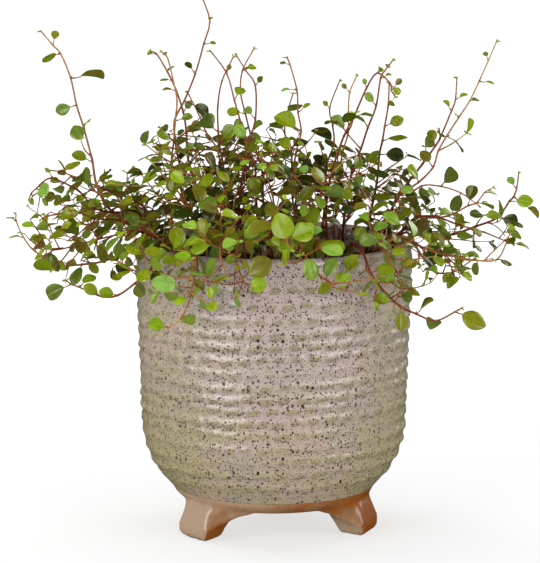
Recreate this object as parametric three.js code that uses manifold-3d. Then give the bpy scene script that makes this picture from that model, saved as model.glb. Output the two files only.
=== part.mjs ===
// A wire vine in a footed stoneware pot: fired pot, potting soil, and one solid for each leafy shoot.
// Millimetres, +Z up, the front of the pot towards -Y, the origin on the ground under the pot's axis.

import * as THREE from "three";
import { mergeVertices } from "three/addons/utils/BufferGeometryUtils.js";
import Module from "manifold-3d";

const wasm = await Module();
wasm.setup();

// Pot
const RIM_HEIGHT = 146;
const RIM_RADIUS = 69;
const WALL = 5.5;
const GLAZE_EDGE_HEIGHT = 22.4;
const GLAZE_EDGE_RADIUS = 51;
const BASE_HEIGHT = 14.8;
const BASE_RADIUS = 41;
const FLOOR_HEIGHT = 21;
const FLOOR_RADIUS = 40;
const HEEL_HEIGHT = 34;
const HEEL_RADIUS = 54;
const SHOULDER_HEIGHT = 58;
const SHOULDER_RADIUS = 66;
const RIDGE_DEPTH = 1.1;
const POT_SEGMENTS = 30;
// Middle heights of the raised rings, from the lip down
const RING_HEIGHTS = [139, 130.5, 122.5, 114.5, 107, 99.5, 91.5, 83.5, 75.5, 67.5, 59.5, 51.5, 43.5, 36, 29];

// Feet
const FOOT_ANGLES = [219, 339, 99];

// Soil
const SOIL_SEGMENTS = 18;
const SOIL_GAP = 0.3;
const SOIL_TOP = 122;
const SOIL_CROWN = 1.2;
const HOLE_BOTTOM = 112;
const HOLE_HALF_WIDTH = 1.25;

// Shoots
const STEM_FOOT = HOLE_BOTTOM + 0.4;
const STEM_COLLAR = SOIL_TOP + 2.4;
const STEM_RADIUS = 0.95;
const TIP_RADIUS = 0.7;
const TWIG_HALF_WIDTH = 0.42;
const STEM_STEP = 11;
const LEAST_STEP = 3;
const NODE_HALF_LENGTH = 0.55;
const STEM_CLEARANCE = 2.6;
const ZIGZAG = 0.7;
const BLADE_THICKNESS = 0.64;
const PETIOLE_HALF_WIDTH = 0.4;
const PETIOLE_LENGTH = 2.6;
const SMALL_LEAF = 7.7;
const LEAFY_TOP = 203;
const TWIG_SPAN = 7;
const MARKED_TRIES = 6;
const LEAF_TRIES = 9;
const TWIG_TRIES = 8;
const KINDS = ["stem", "marked leaf", "twig", "leaf"];
// Where growth by rule stays, and where marked leaves may go
const MOUND = { x: 124, y: 99, bottom: 104, top: 214 };
const ANYWHERE = { x: 140, y: 110, bottom: 90, top: 280 };

const MATERIALS = {
  pot: new THREE.MeshStandardMaterial({ color: 0xb3a48f, roughness: 0.45, metalness: 0 }),
  soil: new THREE.MeshStandardMaterial({ color: 0x2e2119, roughness: 0.95, metalness: 0 }),
  leafy: new THREE.MeshStandardMaterial({ color: 0x5f8a22, roughness: 0.5, metalness: 0 }),
};

// Each shoot: its root in the soil (x, y), the points its stem passes, the length of its common leaves,
// and the leaves that stand out on it: middle of the blade seen from the front (x, z), length, and the
// blade's tilt, from 0 for level to 90 for facing the front.
const SHOOTS = {
  tall_01: {
    root: [-40, -4], leaf: 9,
    via: [[-73, -2, 155], [-84, 0, 165], [-89, 2, 178], [-94, 3, 198], [-99, 4, 216], [-104, 5, 236], [-115, 6, 249]],
    leaves: [[-110, 248, 5, 80], [-112, 237, 8.5, 35], [-90, 229, 12, 5], [-105, 211, 8.5, 80],
      [-91, 207, 10, 60], [-95, 190, 8, 60], [-100, 184, 9, 25]],
  },
  tall_02: {
    root: [-28, 10], leaf: 8,
    via: [[-38, 10, 169], [-44, 12, 189], [-44, 12, 206], [-49, 12, 222], [-56, 12, 235], [-61, 12, 239]],
    leaves: [[-62, 239, 3.5, 40], [-53, 221, 5, 10], [-43, 213, 5, 60]],
  },
  tall_03: {
    root: [-34, -8], leaf: 8,
    via: [[-45, -6, 167], [-50, -6, 184], [-48, -5, 206], [-49, -5, 223], [-51, -5, 233], [-55, -5, 240]],
    leaves: [[-54, 241, 3.5, 70], [-54, 227, 4.5, 15], [-43, 208, 6, 50]],
  },
  tall_04: {
    root: [-22, 2], leaf: 8,
    via: [[-39, 2, 168], [-47, 3, 185], [-50, 3, 202], [-44, 3, 215], [-39, 3, 230], [-33, 3, 247], [-32, 3, 258],
      [-35, 3, 266]],
    leaves: [[-30, 244, 3.5, 40], [-42, 233, 5, 20], [-35, 211, 9, 60]],
  },
  tall_05: {
    root: [-6, 8], leaf: 8,
    via: [[-9, 8, 175], [-14, 9, 195], [-19, 9, 215], [-25, 9, 230], [-31, 9, 239]],
    leaves: [[-24, 232, 3.5, 60], [-18, 221, 7, 80]],
  },
  tall_06: {
    root: [-20, -14], leaf: 9,
    via: [[-24, -14, 173], [-26, -13, 194], [-27, -12, 215], [-24, -12, 229], [-20, -12, 238]],
    leaves: [[-31, 208, 10, 70], [-23, 202, 9, 60]],
  },
  tall_07: {
    root: [-12, -24], leaf: 9,
    via: [[-17, -26, 169], [-14, -25, 186], [-10, -24, 206], [-9, -24, 222], [-13, -24, 233], [-18, -24, 240]],
    leaves: [[-7, 229, 4, 60], [-12, 214, 6, 50]],
  },
  tall_08: {
    root: [-2, 20], leaf: 8,
    via: [[-6, 22, 176], [-11, 24, 196], [-17, 24, 216], [-15, 24, 229], [-10, 24, 239]],
    leaves: [[-11, 231, 5, 60], [-20, 208, 7, 60]],
  },
  tall_09: {
    root: [12, 4], leaf: 9,
    via: [[10, 5, 178], [13, 6, 198], [12, 6, 215], [7, 6, 236]],
    leaves: [[5, 235, 3.5, 50], [6, 221, 4.5, 20], [16, 213, 4.5, 30], [6, 205, 12, 45]],
  },
  tall_10: {
    root: [24, 16], leaf: 9,
    via: [[26, 18, 174], [31, 20, 193], [29, 20, 211], [33, 20, 223]],
    leaves: [[27, 213, 3.5, 70], [27, 199, 12, 25]],
  },
  tall_11: {
    root: [30, 28], leaf: 8,
    via: [[34, 32, 174], [38, 36, 197], [39, 36, 216], [42, 36, 224]],
    leaves: [[37, 220, 3.5, 80], [34, 202, 9, 45]],
  },
  tall_12: {
    root: [34, 2], leaf: 8,
    via: [[38, 2, 176], [45, 3, 195], [51, 3, 214], [54, 3, 227], [59, 3, 235]],
    leaves: [[48, 217, 6, 70], [57, 229, 3.5, 20], [58, 234, 4.5, 80]],
  },
  tall_13: {
    root: [26, -10], leaf: 9,
    via: [[27, -12, 175], [34, -13, 197], [42, -13, 215], [49, -13, 229], [55, -12, 229], [58, -12, 223]],
    leaves: [[46, 227, 3.5, 80], [45, 213, 7, 15], [60, 227, 4.5, 70], [61, 221, 5, 70]],
  },
  tall_14: {
    root: [44, 12], leaf: 9,
    via: [[51, 14, 172], [54, 16, 188], [57, 16, 205], [58, 16, 222]],
    leaves: [[61, 205, 7.5, 70], [62, 197, 10, 15], [61, 187, 9, 70]],
  },
  tall_15: {
    root: [42, -12], leaf: 9,
    via: [[58, -14, 163], [77, -16, 183], [85, -17, 200], [92, -18, 212], [102, -18, 228], [109, -18, 246]],
    leaves: [[105, 241, 3.5, 60], [106, 227, 4.5, 20], [92, 196, 8.5, 10], [75, 190, 7, 50]],
  },
  tall_16: {
    root: [46, 0], leaf: 8,
    via: [[62, 0, 167], [73, 1, 182], [84, 1, 197], [88, 1, 206], [90, 1, 215], [91, 1, 226]],
    leaves: [[94, 219, 4.5, 25], [86, 214, 4.5, 25], [83, 202, 7.5, 80], [79, 198, 7, 50]],
  },
  left_1: {
    root: [-44, -20], leaf: 9,
    via: [[-60, -28, 153], [-77, -26, 141], [-97, -23, 136], [-114, -21, 141], [-124, -20, 152], [-127, -20, 161]],
    leaves: [[-129, 163, 5.5, 10], [-128, 153, 6.5, 10], [-119, 149, 6, 60], [-111, 139, 9.5, 70]],
  },
  left_2: {
    root: [-38, -34], leaf: 10,
    via: [[-52, -50, 151], [-60, -60, 140], [-76, -58, 126], [-89, -51, 127], [-98, -47, 131]],
    leaves: [[-107, 129, 10, 60], [-89, 129, 8, 70], [-81, 128, 7.5, 60], [-90, 134, 8, 20]],
  },
  left_3: {
    root: [-42, 4], leaf: 9,
    via: [[-67, 2, 158], [-84, -5, 160], [-97, -4, 170], [-106, -4, 176], [-113, -6, 178], [-118, -8, 172]],
    leaves: [[-113, 181, 4, 20], [-121, 166, 4, 20], [-116, 170, 6, 50], [-111, 168, 7, 80], [-102, 175, 9, 70]],
  },
  left_4: {
    root: [-38, 18], leaf: 9,
    via: [[-67, 18, 161], [-88, 20, 169], [-102, 22, 175], [-113, 22, 178]],
    leaves: [[-101, 180, 9, 15]],
  },
  left_5: {
    root: [-46, -12], leaf: 10,
    via: [[-69, -12, 154], [-87, -14, 158], [-101, -15, 162], [-112, -15, 159]],
    leaves: [[-117, 159, 6, 10], [-100, 154, 10.5, 80], [-84, 158, 10, 40]],
  },
  left_6: {
    root: [-36, -26], leaf: 10,
    via: [[-60, -38, 154], [-79, -42, 153], [-94, -42, 149], [-108, -42, 147], [-117, -42, 152]],
    leaves: [[-81, 148, 10, 20], [-75, 147, 8, 60], [-70, 160, 7.5, 60]],
  },
  right_1: {
    root: [30, -42], leaf: 9,
    via: [[40, -60, 152], [48, -74, 139], [60, -74, 125], [73, -66, 118], [82, -62, 115], [88, -60, 119]],
    leaves: [[97, 117, 13, 50], [73, 125, 8, 10]],
  },
  right_2: {
    root: [50, -14], leaf: 9,
    via: [[64, -18, 151], [76, -24, 136], [88, -26, 133], [98, -28, 140]],
    leaves: [[92, 139, 8, 70], [79, 142, 10, 75], [75, 137, 8, 60]],
  },
  right_3: {
    root: [42, -26], leaf: 9,
    via: [[58, -36, 153], [74, -40, 147], [94, -40, 142], [108, -38, 140], [114, -36, 149], [116, -36, 156]],
    leaves: [[122, 149, 7, 10], [109, 147, 7.5, 50]],
  },
  right_4: {
    root: [46, 7], leaf: 9,
    via: [[66, 6, 150], [83, 4, 147], [101, 0, 152], [114, -2, 160], [122, -2, 172], [122, -2, 179]],
    leaves: [[119, 176, 5.5, 60], [125, 167, 8.5, 80], [119, 160, 10, 80], [130, 160, 7.5, 8]],
  },
  right_5: {
    root: [40, 22], leaf: 9,
    via: [[60, 26, 155], [80, 32, 153], [97, 36, 156], [112, 38, 167]],
    leaves: [[105, 162, 8, 40], [113, 167, 6.5, 30], [110, 159, 8, 10]],
  },
  right_6: {
    root: [50, -5], leaf: 9,
    via: [[70, -10, 157], [87, -14, 156], [103, -16, 152], [118, -16, 146]],
    leaves: [[87, 160, 9, 30], [98, 154, 8, 60]],
  },
  front_1: {
    root: [-30, -40], leaf: 9,
    via: [[-36, -60, 152], [-37, -78, 142], [-40, -80, 128], [-46, -78, 115], [-53, -76, 115]],
    leaves: [[-52, 137, 12, 80], [-41, 138, 9.5, 50], [-29, 126, 8, 60], [-56, 116, 8, 70]],
  },
  front_2: {
    root: [-12, -46], leaf: 11,
    via: [[-14, -66, 153], [-18, -79, 146], [-12, -83, 136]],
    leaves: [[-7, 145, 13, 70], [-6, 136, 11, 80]],
  },
  front_3: {
    root: [12, -48], leaf: 10,
    via: [[12, -66, 152], [18, -79, 144], [27, -81, 136], [39, -79, 132]],
    leaves: [[26, 133, 9.5, 70], [33, 140, 8.5, 40], [24, 145, 10, 20]],
  },
  front_4: {
    root: [22, -44], leaf: 12,
    via: [[20, -62, 154], [22, -78, 153], [15, -88, 152]],
    leaves: [[20, 150, 14, 65], [5, 148, 12, 60]],
  },
  front_5: {
    root: [2, -42], leaf: 13,
    via: [[-1, -62, 158], [3, -80, 162], [6, -92, 157]],
    leaves: [[4, 166, 13, 60], [14, 162, 12, 75]],
  },
  front_6: {
    root: [-20, -44], leaf: 12,
    via: [[-24, -64, 153], [-26, -80, 151], [-22, -89, 141]],
    leaves: [[-20, 131, 10, 70], [-15, 152, 12, 50], [-27, 157, 14, 30]],
  },
  front_7: {
    root: [38, -34], leaf: 9,
    via: [[50, -54, 152], [57, -67, 145], [61, -69, 134], [59, -69, 126]],
    leaves: [[54, 138, 9, 70], [48, 141, 6, 40], [52, 127, 8, 70], [66, 130, 8, 20]],
  },
  core_1: {
    root: [-16, -32], leaf: 11,
    via: [[-22, -38, 162], [-29, -44, 176], [-34, -48, 187]], leaves: [],
  },
  core_2: {
    root: [4, -30], leaf: 11,
    via: [[1, -42, 165], [-2, -48, 181], [-6, -50, 194]], leaves: [],
  },
  core_3: {
    root: [20, -28], leaf: 11,
    via: [[21, -38, 165], [25, -46, 180], [33, -50, 190]], leaves: [],
  },
  core_4: {
    root: [-30, -18], leaf: 10,
    via: [[-41, -24, 166], [-52, -30, 179], [-61, -32, 190]], leaves: [],
  },
  back_1: {
    root: [-28, 28], leaf: 10,
    via: [[-48, 56, 158], [-62, 76, 149], [-70, 90, 134]], leaves: [[-74, 134, 10, 40]],
  },
  back_2: {
    root: [-12, 42], leaf: 10,
    via: [[-16, 64, 160], [-20, 86, 156], [-28, 97, 142]], leaves: [],
  },
  back_3: {
    root: [8, 44], leaf: 10,
    via: [[14, 66, 156], [22, 84, 146], [25, 95, 130]], leaves: [],
  },
  back_4: {
    root: [28, 38], leaf: 10,
    via: [[44, 60, 160], [60, 78, 158], [72, 90, 148]], leaves: [],
  },
  back_5: {
    root: [-46, 16], leaf: 10,
    via: [[-70, 38, 158], [-89, 50, 150], [-104, 60, 137]], leaves: [],
  },
  back_6: {
    root: [44, 32], leaf: 10,
    via: [[70, 48, 162], [90, 58, 164], [106, 62, 155]], leaves: [],
  },
  back_7: {
    root: [-18, 26], leaf: 9,
    via: [[-26, 44, 176], [-36, 56, 197], [-44, 62, 213]], leaves: [],
  },
  back_8: {
    root: [14, 28], leaf: 9,
    via: [[10, 46, 178], [6, 58, 196], [10, 66, 212]], leaves: [],
  },
};

const UP = new THREE.Vector3(0, 0, 1);

function vector([x, y, z]) {
  return new THREE.Vector3(x, y, z);
}

function mix(from, to, share) {
  return from.clone().lerp(to, share);
}

// Solids and joins

function solidOf(geometry) {
  const bare = geometry.index ? geometry.clone() : geometry;
  bare.deleteAttribute("normal");
  bare.deleteAttribute("uv");
  const merged = mergeVertices(bare, 1e-4);
  const vertProperties = new Float32Array(merged.attributes.position.array);
  const triVerts = new Uint32Array(merged.index.array);
  return new wasm.Manifold(new wasm.Mesh({ numProp: 3, vertProperties, triVerts }));
}

function joined(solids) {
  return solids.reduce((whole, next) => whole.add(next));
}

function geometryOf(solid) {
  const { vertProperties, triVerts } = solid.getMesh();
  const geometry = new THREE.BufferGeometry();
  geometry.setAttribute("position", new THREE.BufferAttribute(vertProperties, 3));
  geometry.setIndex(new THREE.BufferAttribute(triVerts, 1));
  return geometry;
}

function meshOf(name, geometry, material) {
  geometry.computeVertexNormals();
  const mesh = new THREE.Mesh(geometry, material);
  mesh.name = name;
  return mesh;
}

// A closed skin made of walls between rings of points. A wall can stay open on one side, and a leaf
// or twig then grows out of that opening.
class Skin {
  constructor() {
    this.points = [];
    this.triangles = [];
  }

  ring(points) {
    const first = this.points.length;
    this.points.push(...points);
    return points.map((_, i) => first + i);
  }

  // A blade's facing sides are split along the same diagonal, so that its two thin faces never cross.
  // A stem's three sides are all split along their shorter diagonals, so that it may turn.
  wall(ring, next, open = -1) {
    const span = (shift, nextShift) => ring.reduce((sum, _, side) => (
      sum + this.points[ring[(side + shift) % 3]].distanceTo(this.points[next[(side + nextShift) % 3]])
    ), 0);
    const turned = ring.length === 3 && span(0, 1) > span(1, 0);
    for (let side = 0; side < ring.length; side += 1) {
      const after = (side + 1) % ring.length;
      const [a, b, c, d] = [ring[side], ring[after], next[after], next[side]];
      const rising = ring.length === 3 ? !turned : side < ring.length / 2;
      if (side !== open) {
        this.triangles.push(...(rising ? [a, b, c, a, c, d] : [a, b, d, b, c, d]));
      }
    }
  }

  cap(ring) {
    for (let side = 1; side + 1 < ring.length; side += 1) {
      this.triangles.push(ring[0], ring[side], ring[side + 1]);
    }
  }

  geometry() {
    const geometry = new THREE.BufferGeometry();
    const values = this.points.flatMap((point) => [point.x, point.y, point.z]);
    geometry.setAttribute("position", new THREE.Float32BufferAttribute(values, 3));
    geometry.setIndex(this.triangles);
    return geometry;
  }
}

function loft(rows) {
  const skin = new Skin();
  const rings = rows.map((row) => skin.ring(row));
  skin.cap(rings[0].slice().reverse());
  rings.slice(1).forEach((ring, i) => skin.wall(rings[i], ring));
  skin.cap(rings[rings.length - 1]);
  return skin.geometry();
}

// Seeded draws between 0 and 1
function stream(seed) {
  let state = seed >>> 0;
  return () => {
    state = (state + 0x6d2b79f5) >>> 0;
    let t = Math.imul(state ^ (state >>> 15), state | 1);
    t ^= t + Math.imul(t ^ (t >>> 7), t | 61);
    return ((t ^ (t >>> 14)) >>> 0) / 2 ** 32;
  };
}

// Draws of its own for each thing that is grown: its kind, its shoot's number, its joint and the try
function drawsFor(kind, number, joint, attempt) {
  return stream(((KINDS.indexOf(kind) * 64 + number) * 32 + joint) * 16 + attempt);
}

// Pot

// The body's outer radius without the rings: nearly straight above, drawn in to the base below
function bodyRadius(z) {
  if (z >= SHOULDER_HEIGHT) {
    const rise = (z - SHOULDER_HEIGHT) / (RIM_HEIGHT - SHOULDER_HEIGHT);
    return THREE.MathUtils.lerp(SHOULDER_RADIUS, RIM_RADIUS, rise);
  }
  const drop = (SHOULDER_HEIGHT - z) / (SHOULDER_HEIGHT - GLAZE_EDGE_HEIGHT);
  return THREE.MathUtils.lerp(SHOULDER_RADIUS, GLAZE_EDGE_RADIUS, drop ** 2.3);
}

function potProfile() {
  const outside = [];
  for (const height of RING_HEIGHTS.slice().reverse()) {
    outside.push([bodyRadius(height) + RIDGE_DEPTH, height]);
    outside.push([bodyRadius(height + 4), height + 4]);
  }
  outside.pop();
  return [
    [0, BASE_HEIGHT],
    [BASE_RADIUS, BASE_HEIGHT],
    [GLAZE_EDGE_RADIUS - 1.6, GLAZE_EDGE_HEIGHT - 1.6],
    [GLAZE_EDGE_RADIUS, GLAZE_EDGE_HEIGHT],
    ...outside,
    [RIM_RADIUS + 0.8, RIM_HEIGHT - 2],
    [RIM_RADIUS - WALL / 2, RIM_HEIGHT],
    [RIM_RADIUS - WALL, RIM_HEIGHT - 2],
    [RIM_RADIUS - WALL - 1, 100],
    [SHOULDER_RADIUS - WALL, SHOULDER_HEIGHT],
    [HEEL_RADIUS, HEEL_HEIGHT],
    [FLOOR_RADIUS, FLOOR_HEIGHT],
    [0, FLOOR_HEIGHT],
  ];
}

// One foot: a stubby wedge that splays outwards, with a broad outer face and a flat sole
function footSolid(angle) {
  const sections = [
    { z: 21, inner: 30, outer: 48.5, half: 13 },
    { z: 15, inner: 32, outer: 49, half: 11.5 },
    { z: 8, inner: 37, outer: 50.5, half: 10.5 },
    { z: 2.5, inner: 40, outer: 50.5, half: 9.5 },
    { z: 0, inner: 41.5, outer: 48, half: 7 },
  ];
  const turn = THREE.MathUtils.degToRad(angle);
  const rows = sections.map(({ z, inner, outer, half }) => {
    const outline = [
      [inner, -half * 0.45], [outer - 3, -half], [outer, -half * 0.72],
      [outer, half * 0.72], [outer - 3, half], [inner, half * 0.45],
    ];
    return outline.map(([x, y]) => new THREE.Vector3(x, y, z).applyAxisAngle(UP, turn));
  });
  return solidOf(loft(rows.reverse()));
}

function lathe(profile, segments) {
  const points = profile.map(([radius, height]) => new THREE.Vector2(radius, height));
  return solidOf(new THREE.LatheGeometry(points, segments).rotateX(Math.PI / 2));
}

function potSolid() {
  return joined([lathe(potProfile(), POT_SEGMENTS), ...FOOT_ANGLES.map(footSolid)]);
}

// Soil

function soilSolid(roots) {
  const body = lathe([
    [0, FLOOR_HEIGHT + SOIL_GAP],
    [FLOOR_RADIUS - 1, FLOOR_HEIGHT + SOIL_GAP],
    [HEEL_RADIUS - 1, HEEL_HEIGHT + SOIL_GAP],
    [SHOULDER_RADIUS - WALL - 0.6, SHOULDER_HEIGHT],
    [RIM_RADIUS - WALL - 1.6, 100],
    [RIM_RADIUS - WALL - 1.4, SOIL_TOP - 1],
    [40, SOIL_TOP],
    [0, SOIL_TOP + SOIL_CROWN],
  ], SOIL_SEGMENTS);
  const square = new THREE.Shape([[-1, -1], [1, -1], [1, 1], [-1, 1]].map(
    ([x, y]) => new THREE.Vector2(x * HOLE_HALF_WIDTH, y * HOLE_HALF_WIDTH),
  ));
  const holes = roots.map(([x, y]) => solidOf(
    new THREE.ExtrudeGeometry(square, { depth: 16, bevelEnabled: false }).translate(x, y, HOLE_BOTTOM),
  ));
  return body.subtract(joined(holes));
}

// Stems: a row of joints along a smooth curve. Each marked leaf has a joint where it fits best, and
// the rest of the stem is shared out evenly. Like wire vine, it zigzags a little from joint to joint.

function finePath({ root: [x, y], via }) {
  const collar = new THREE.Vector3(x, y, STEM_COLLAR);
  const curve = new THREE.CatmullRomCurve3([collar, ...via.map(vector)], false, "catmullrom", 0.5);
  const count = via.length * 12;
  const points = Array.from({ length: count + 1 }, (_, i) => curve.getPoint(i / count));
  const reach = [0];
  for (let i = 1; i <= count; i += 1) {
    reach.push(reach[i - 1] + points[i].distanceTo(points[i - 1]));
  }
  return { points, reach };
}

// The place along the stem from which a petiole reaches a marked leaf best, rather from below
function reachOfMark({ points, reach }, [x, z, length]) {
  let [best, least] = [0, Infinity];
  points.forEach((point, i) => {
    const gap = Math.hypot(point.x - x, point.z - z) - length / 2 - PETIOLE_LENGTH;
    const miss = Math.abs(gap) + (point.z > z ? 0.6 : 0);
    if (miss < least && i > 0) {
      [best, least] = [reach[i], miss];
    }
  });
  return best;
}

function stemJoints(shoot, number) {
  const path = finePath(shoot);
  const total = path.reach[path.reach.length - 1];
  const marked = shoot.leaves.map((mark) => ({ reach: reachOfMark(path, mark), mark }));
  marked.sort((one, two) => one.reach - two.reach);
  const stops = [{ reach: 0 }];
  for (const stop of [...marked, { reach: total, end: true }]) {
    const before = stops[stops.length - 1].reach;
    const place = stop.end ? Math.max(total, before + LEAST_STEP) : Math.max(stop.reach, before + LEAST_STEP);
    const gaps = Math.max(1, Math.round((place - before) / STEM_STEP));
    for (let gap = 1; gap < gaps; gap += 1) {
      stops.push({ reach: THREE.MathUtils.lerp(before, place, gap / gaps) });
    }
    stops.push({ ...stop, reach: place });
  }
  const draw = drawsFor("stem", number, 0, 0);
  return stops.map(({ reach, mark }, i) => {
    const after = Math.max(1, path.reach.findIndex((at) => at >= Math.min(reach, total) - 1e-9));
    const [from, to] = [path.points[after - 1], path.points[after]];
    const at = mix(from, to, (reach - path.reach[after - 1]) / (path.reach[after] - path.reach[after - 1]));
    const along = to.clone().sub(from).normalize();
    const swing = along.cross(new THREE.Vector3(draw() - 0.5, draw() - 0.5, draw() - 0.5)).normalize();
    if (i > 0 && i + 1 < stops.length) {
      at.addScaledVector(swing, (i % 2 ? 1 : -1) * ZIGZAG);
    }
    return { at, mark };
  });
}

// The nearest points of segments a-b and c-d, as shares of their lengths, and the step between them
function nearest(a, b, c, d) {
  const u = b.clone().sub(a);
  const v = d.clone().sub(c);
  const w = a.clone().sub(c);
  const [uu, uv, vv, uw, vw] = [u.dot(u), u.dot(v), v.dot(v), u.dot(w), v.dot(w)];
  const spread = uu * vv - uv * uv;
  const limit = (share) => Math.min(1, Math.max(0, share));
  const first = limit(spread > 1e-9 ? (uv * vw - vv * uw) / spread : 0.5);
  const t = limit((uv * first + vw) / vv);
  const s = limit((uv * t - uw) / uu);
  return { s, t, gap: w.addScaledVector(u, s).addScaledVector(v, -t) };
}

// How far a ball has to move to leave the pot's wall, the shortest way up, out or in
function wayOutOfPot(point, radius) {
  const spread = Math.hypot(point.x, point.y);
  const up = RIM_HEIGHT + radius - point.z;
  const out = RIM_RADIUS + 2 + radius - spread;
  const inwards = spread + radius - (RIM_RADIUS - WALL - 1);
  if (up <= 0 || out <= 0 || inwards <= 0) {
    return null;
  }
  if (up <= Math.min(out, inwards)) {
    return new THREE.Vector3(0, 0, up);
  }
  const step = out <= inwards ? out : -inwards;
  return new THREE.Vector3(point.x / spread * step, point.y / spread * step, 0);
}

// Moves a point of a span by moving the joints at its ends. A collar stays over its hole.
function pushSpan({ joints, i }, share, step) {
  if (i > 0) {
    joints[i].at.addScaledVector(step, 1 - share);
  }
  joints[i + 1].at.addScaledVector(step, share);
}

function bendApart(one, two) {
  const [a, b] = [one.joints[one.i].at, one.joints[one.i + 1].at];
  const [c, d] = [two.joints[two.i].at, two.joints[two.i + 1].at];
  if (one.joints === two.joints || a.distanceTo(c) > 32) {
    return false;
  }
  const { s, t, gap } = nearest(a, b, c, d);
  const distance = gap.length();
  if (distance >= STEM_CLEARANCE || distance < 1e-6) {
    return false;
  }
  const step = gap.multiplyScalar(0.55 * (STEM_CLEARANCE - distance) / distance);
  pushSpan(one, s, step);
  pushSpan(two, t, step.negate());
  return true;
}

function bendOffPot(span) {
  let moved = false;
  for (const share of [0, 0.25, 0.5, 0.75, 1]) {
    const point = mix(span.joints[span.i].at, span.joints[span.i + 1].at, share);
    const step = wayOutOfPot(point, STEM_RADIUS + 0.4);
    if (step) {
      pushSpan(span, share, step);
      moved = true;
    }
  }
  return moved;
}

// Stems that would cross each other or the pot are bent apart, a little at a time
function bendClear(stems) {
  const spans = stems.flatMap((joints) => joints.slice(1).map((_, i) => ({ joints, i })));
  let moving = true;
  for (let round = 0; round < 40 && moving; round += 1) {
    moving = false;
    spans.forEach((one, first) => {
      for (let second = first + 1; second < spans.length; second += 1) {
        moving = bendApart(one, spans[second]) || moving;
      }
    });
    for (const span of spans) {
      moving = bendOffPot(span) || moving;
    }
  }
}

// Beads: small balls that stand in for stems and leaves where new growth looks for free room
class Crowd {
  constructor() {
    this.cells = new Map();
    this.size = 4;
  }

  cell(point) {
    return [point.x, point.y, point.z].map((value) => Math.floor(value / this.size));
  }

  add(point, radius, owner) {
    const key = this.cell(point).join();
    if (!this.cells.has(key)) {
      this.cells.set(key, []);
    }
    this.cells.get(key).push({ point, radius, owner });
  }

  // Whether a ball meets a bead, other than those of the owner that is left out
  meets(point, radius, leftOut = "") {
    const [i, j, k] = this.cell(point);
    for (let x = i - 1; x <= i + 1; x += 1) {
      for (let y = j - 1; y <= j + 1; y += 1) {
        for (let z = k - 1; z <= k + 1; z += 1) {
          for (const bead of this.cells.get([x, y, z].join()) ?? []) {
            if (bead.owner !== leftOut && bead.point.distanceTo(point) < bead.radius + radius) {
              return true;
            }
          }
        }
      }
    }
    return false;
  }
}

// Whether a ball touches the pot's wall or the soil
function meetsPot(point, radius) {
  const inBowl = Math.hypot(point.x, point.y) < RIM_RADIUS - WALL;
  return wayOutOfPot(point, radius) !== null || (inBowl && point.z - radius < SOIL_TOP + 2);
}

function stemOf(name) {
  return `${name} stem`;
}

function strewBeads(crowd, points, radius, owner) {
  for (let i = 0; i + 1 < points.length; i += 1) {
    const count = Math.ceil(points[i].distanceTo(points[i + 1]) / 1.3);
    for (let step = 0; step < count; step += 1) {
      crowd.add(mix(points[i], points[i + 1], step / count), radius, owner);
    }
  }
}

// A leaf's stations, from its base over the neck and the broadest place to the blunt tip. The blade
// bends down as it goes.
function leafLine({ base, direction, face, length, petiole, bend }) {
  const across = face.clone().cross(direction).normalize();
  const neck = base.clone().addScaledVector(direction, petiole);
  const stations = [{ at: base, up: face }, { at: neck, up: face }];
  for (const part of [0.5, 1]) {
    const turned = direction.clone().applyAxisAngle(across, bend * part);
    const at = stations[stations.length - 1].at.clone().addScaledVector(turned, length / 2);
    stations.push({ at, up: face.clone().applyAxisAngle(across, bend * part) });
  }
  return { across, stations };
}

function leafBeads(leaf) {
  const { across, stations } = leafLine(leaf);
  const radius = Math.max(1, leaf.width / 6 + 0.35);
  const blade = [];
  for (const [station, share, spread] of [[1, 0.4, 0.26], [2, 0, 0.36], [2, 0.5, 0.33], [2, 0.95, 0.16]]) {
    const middle = mix(stations[station].at, stations[Math.min(3, station + 1)].at, share);
    for (const side of [-1, 0, 1]) {
      blade.push({ point: middle.clone().addScaledVector(across, side * spread * leaf.width), radius });
    }
  }
  const count = Math.ceil(leaf.petiole / 1.2);
  const stalk = Array.from({ length: count }, (_, i) => (
    { point: mix(stations[0].at, stations[1].at, (i + 1) / count), radius: 0.8 }
  ));
  return { blade, stalk };
}

// Plants a leaf if it has room inside the limits. Only its petiole may be near its own stem.
function plantLeaf(leaf, { crowd, name }, limits) {
  const { blade, stalk } = leafBeads(leaf);
  const fits = blade.every(({ point, radius }) => Math.abs(point.x) < limits.x && Math.abs(point.y) < limits.y
    && point.z > limits.bottom && point.z < limits.top && !crowd.meets(point, radius) && !meetsPot(point, radius))
    && stalk.every(({ point, radius }) => !crowd.meets(point, radius, stemOf(name)));
  if (fits) {
    [...blade, ...stalk].forEach(({ point, radius }) => crowd.add(point, radius, name));
  }
  return fits;
}

// A blade's upper side looks at the light, as far as its direction lets it
function faceFor(direction, light) {
  return light.clone().addScaledVector(direction, -light.dot(direction)).normalize();
}

// Turns a direction away from the stem where it would run along it
function leanOut(direction, along) {
  const most = THREE.MathUtils.clamp(direction.dot(along), -0.5, 0.6);
  const lean = direction.clone().addScaledVector(along, -direction.dot(along)).normalize();
  return lean.multiplyScalar(Math.sqrt(1 - most * most)).addScaledVector(along, most);
}

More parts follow.
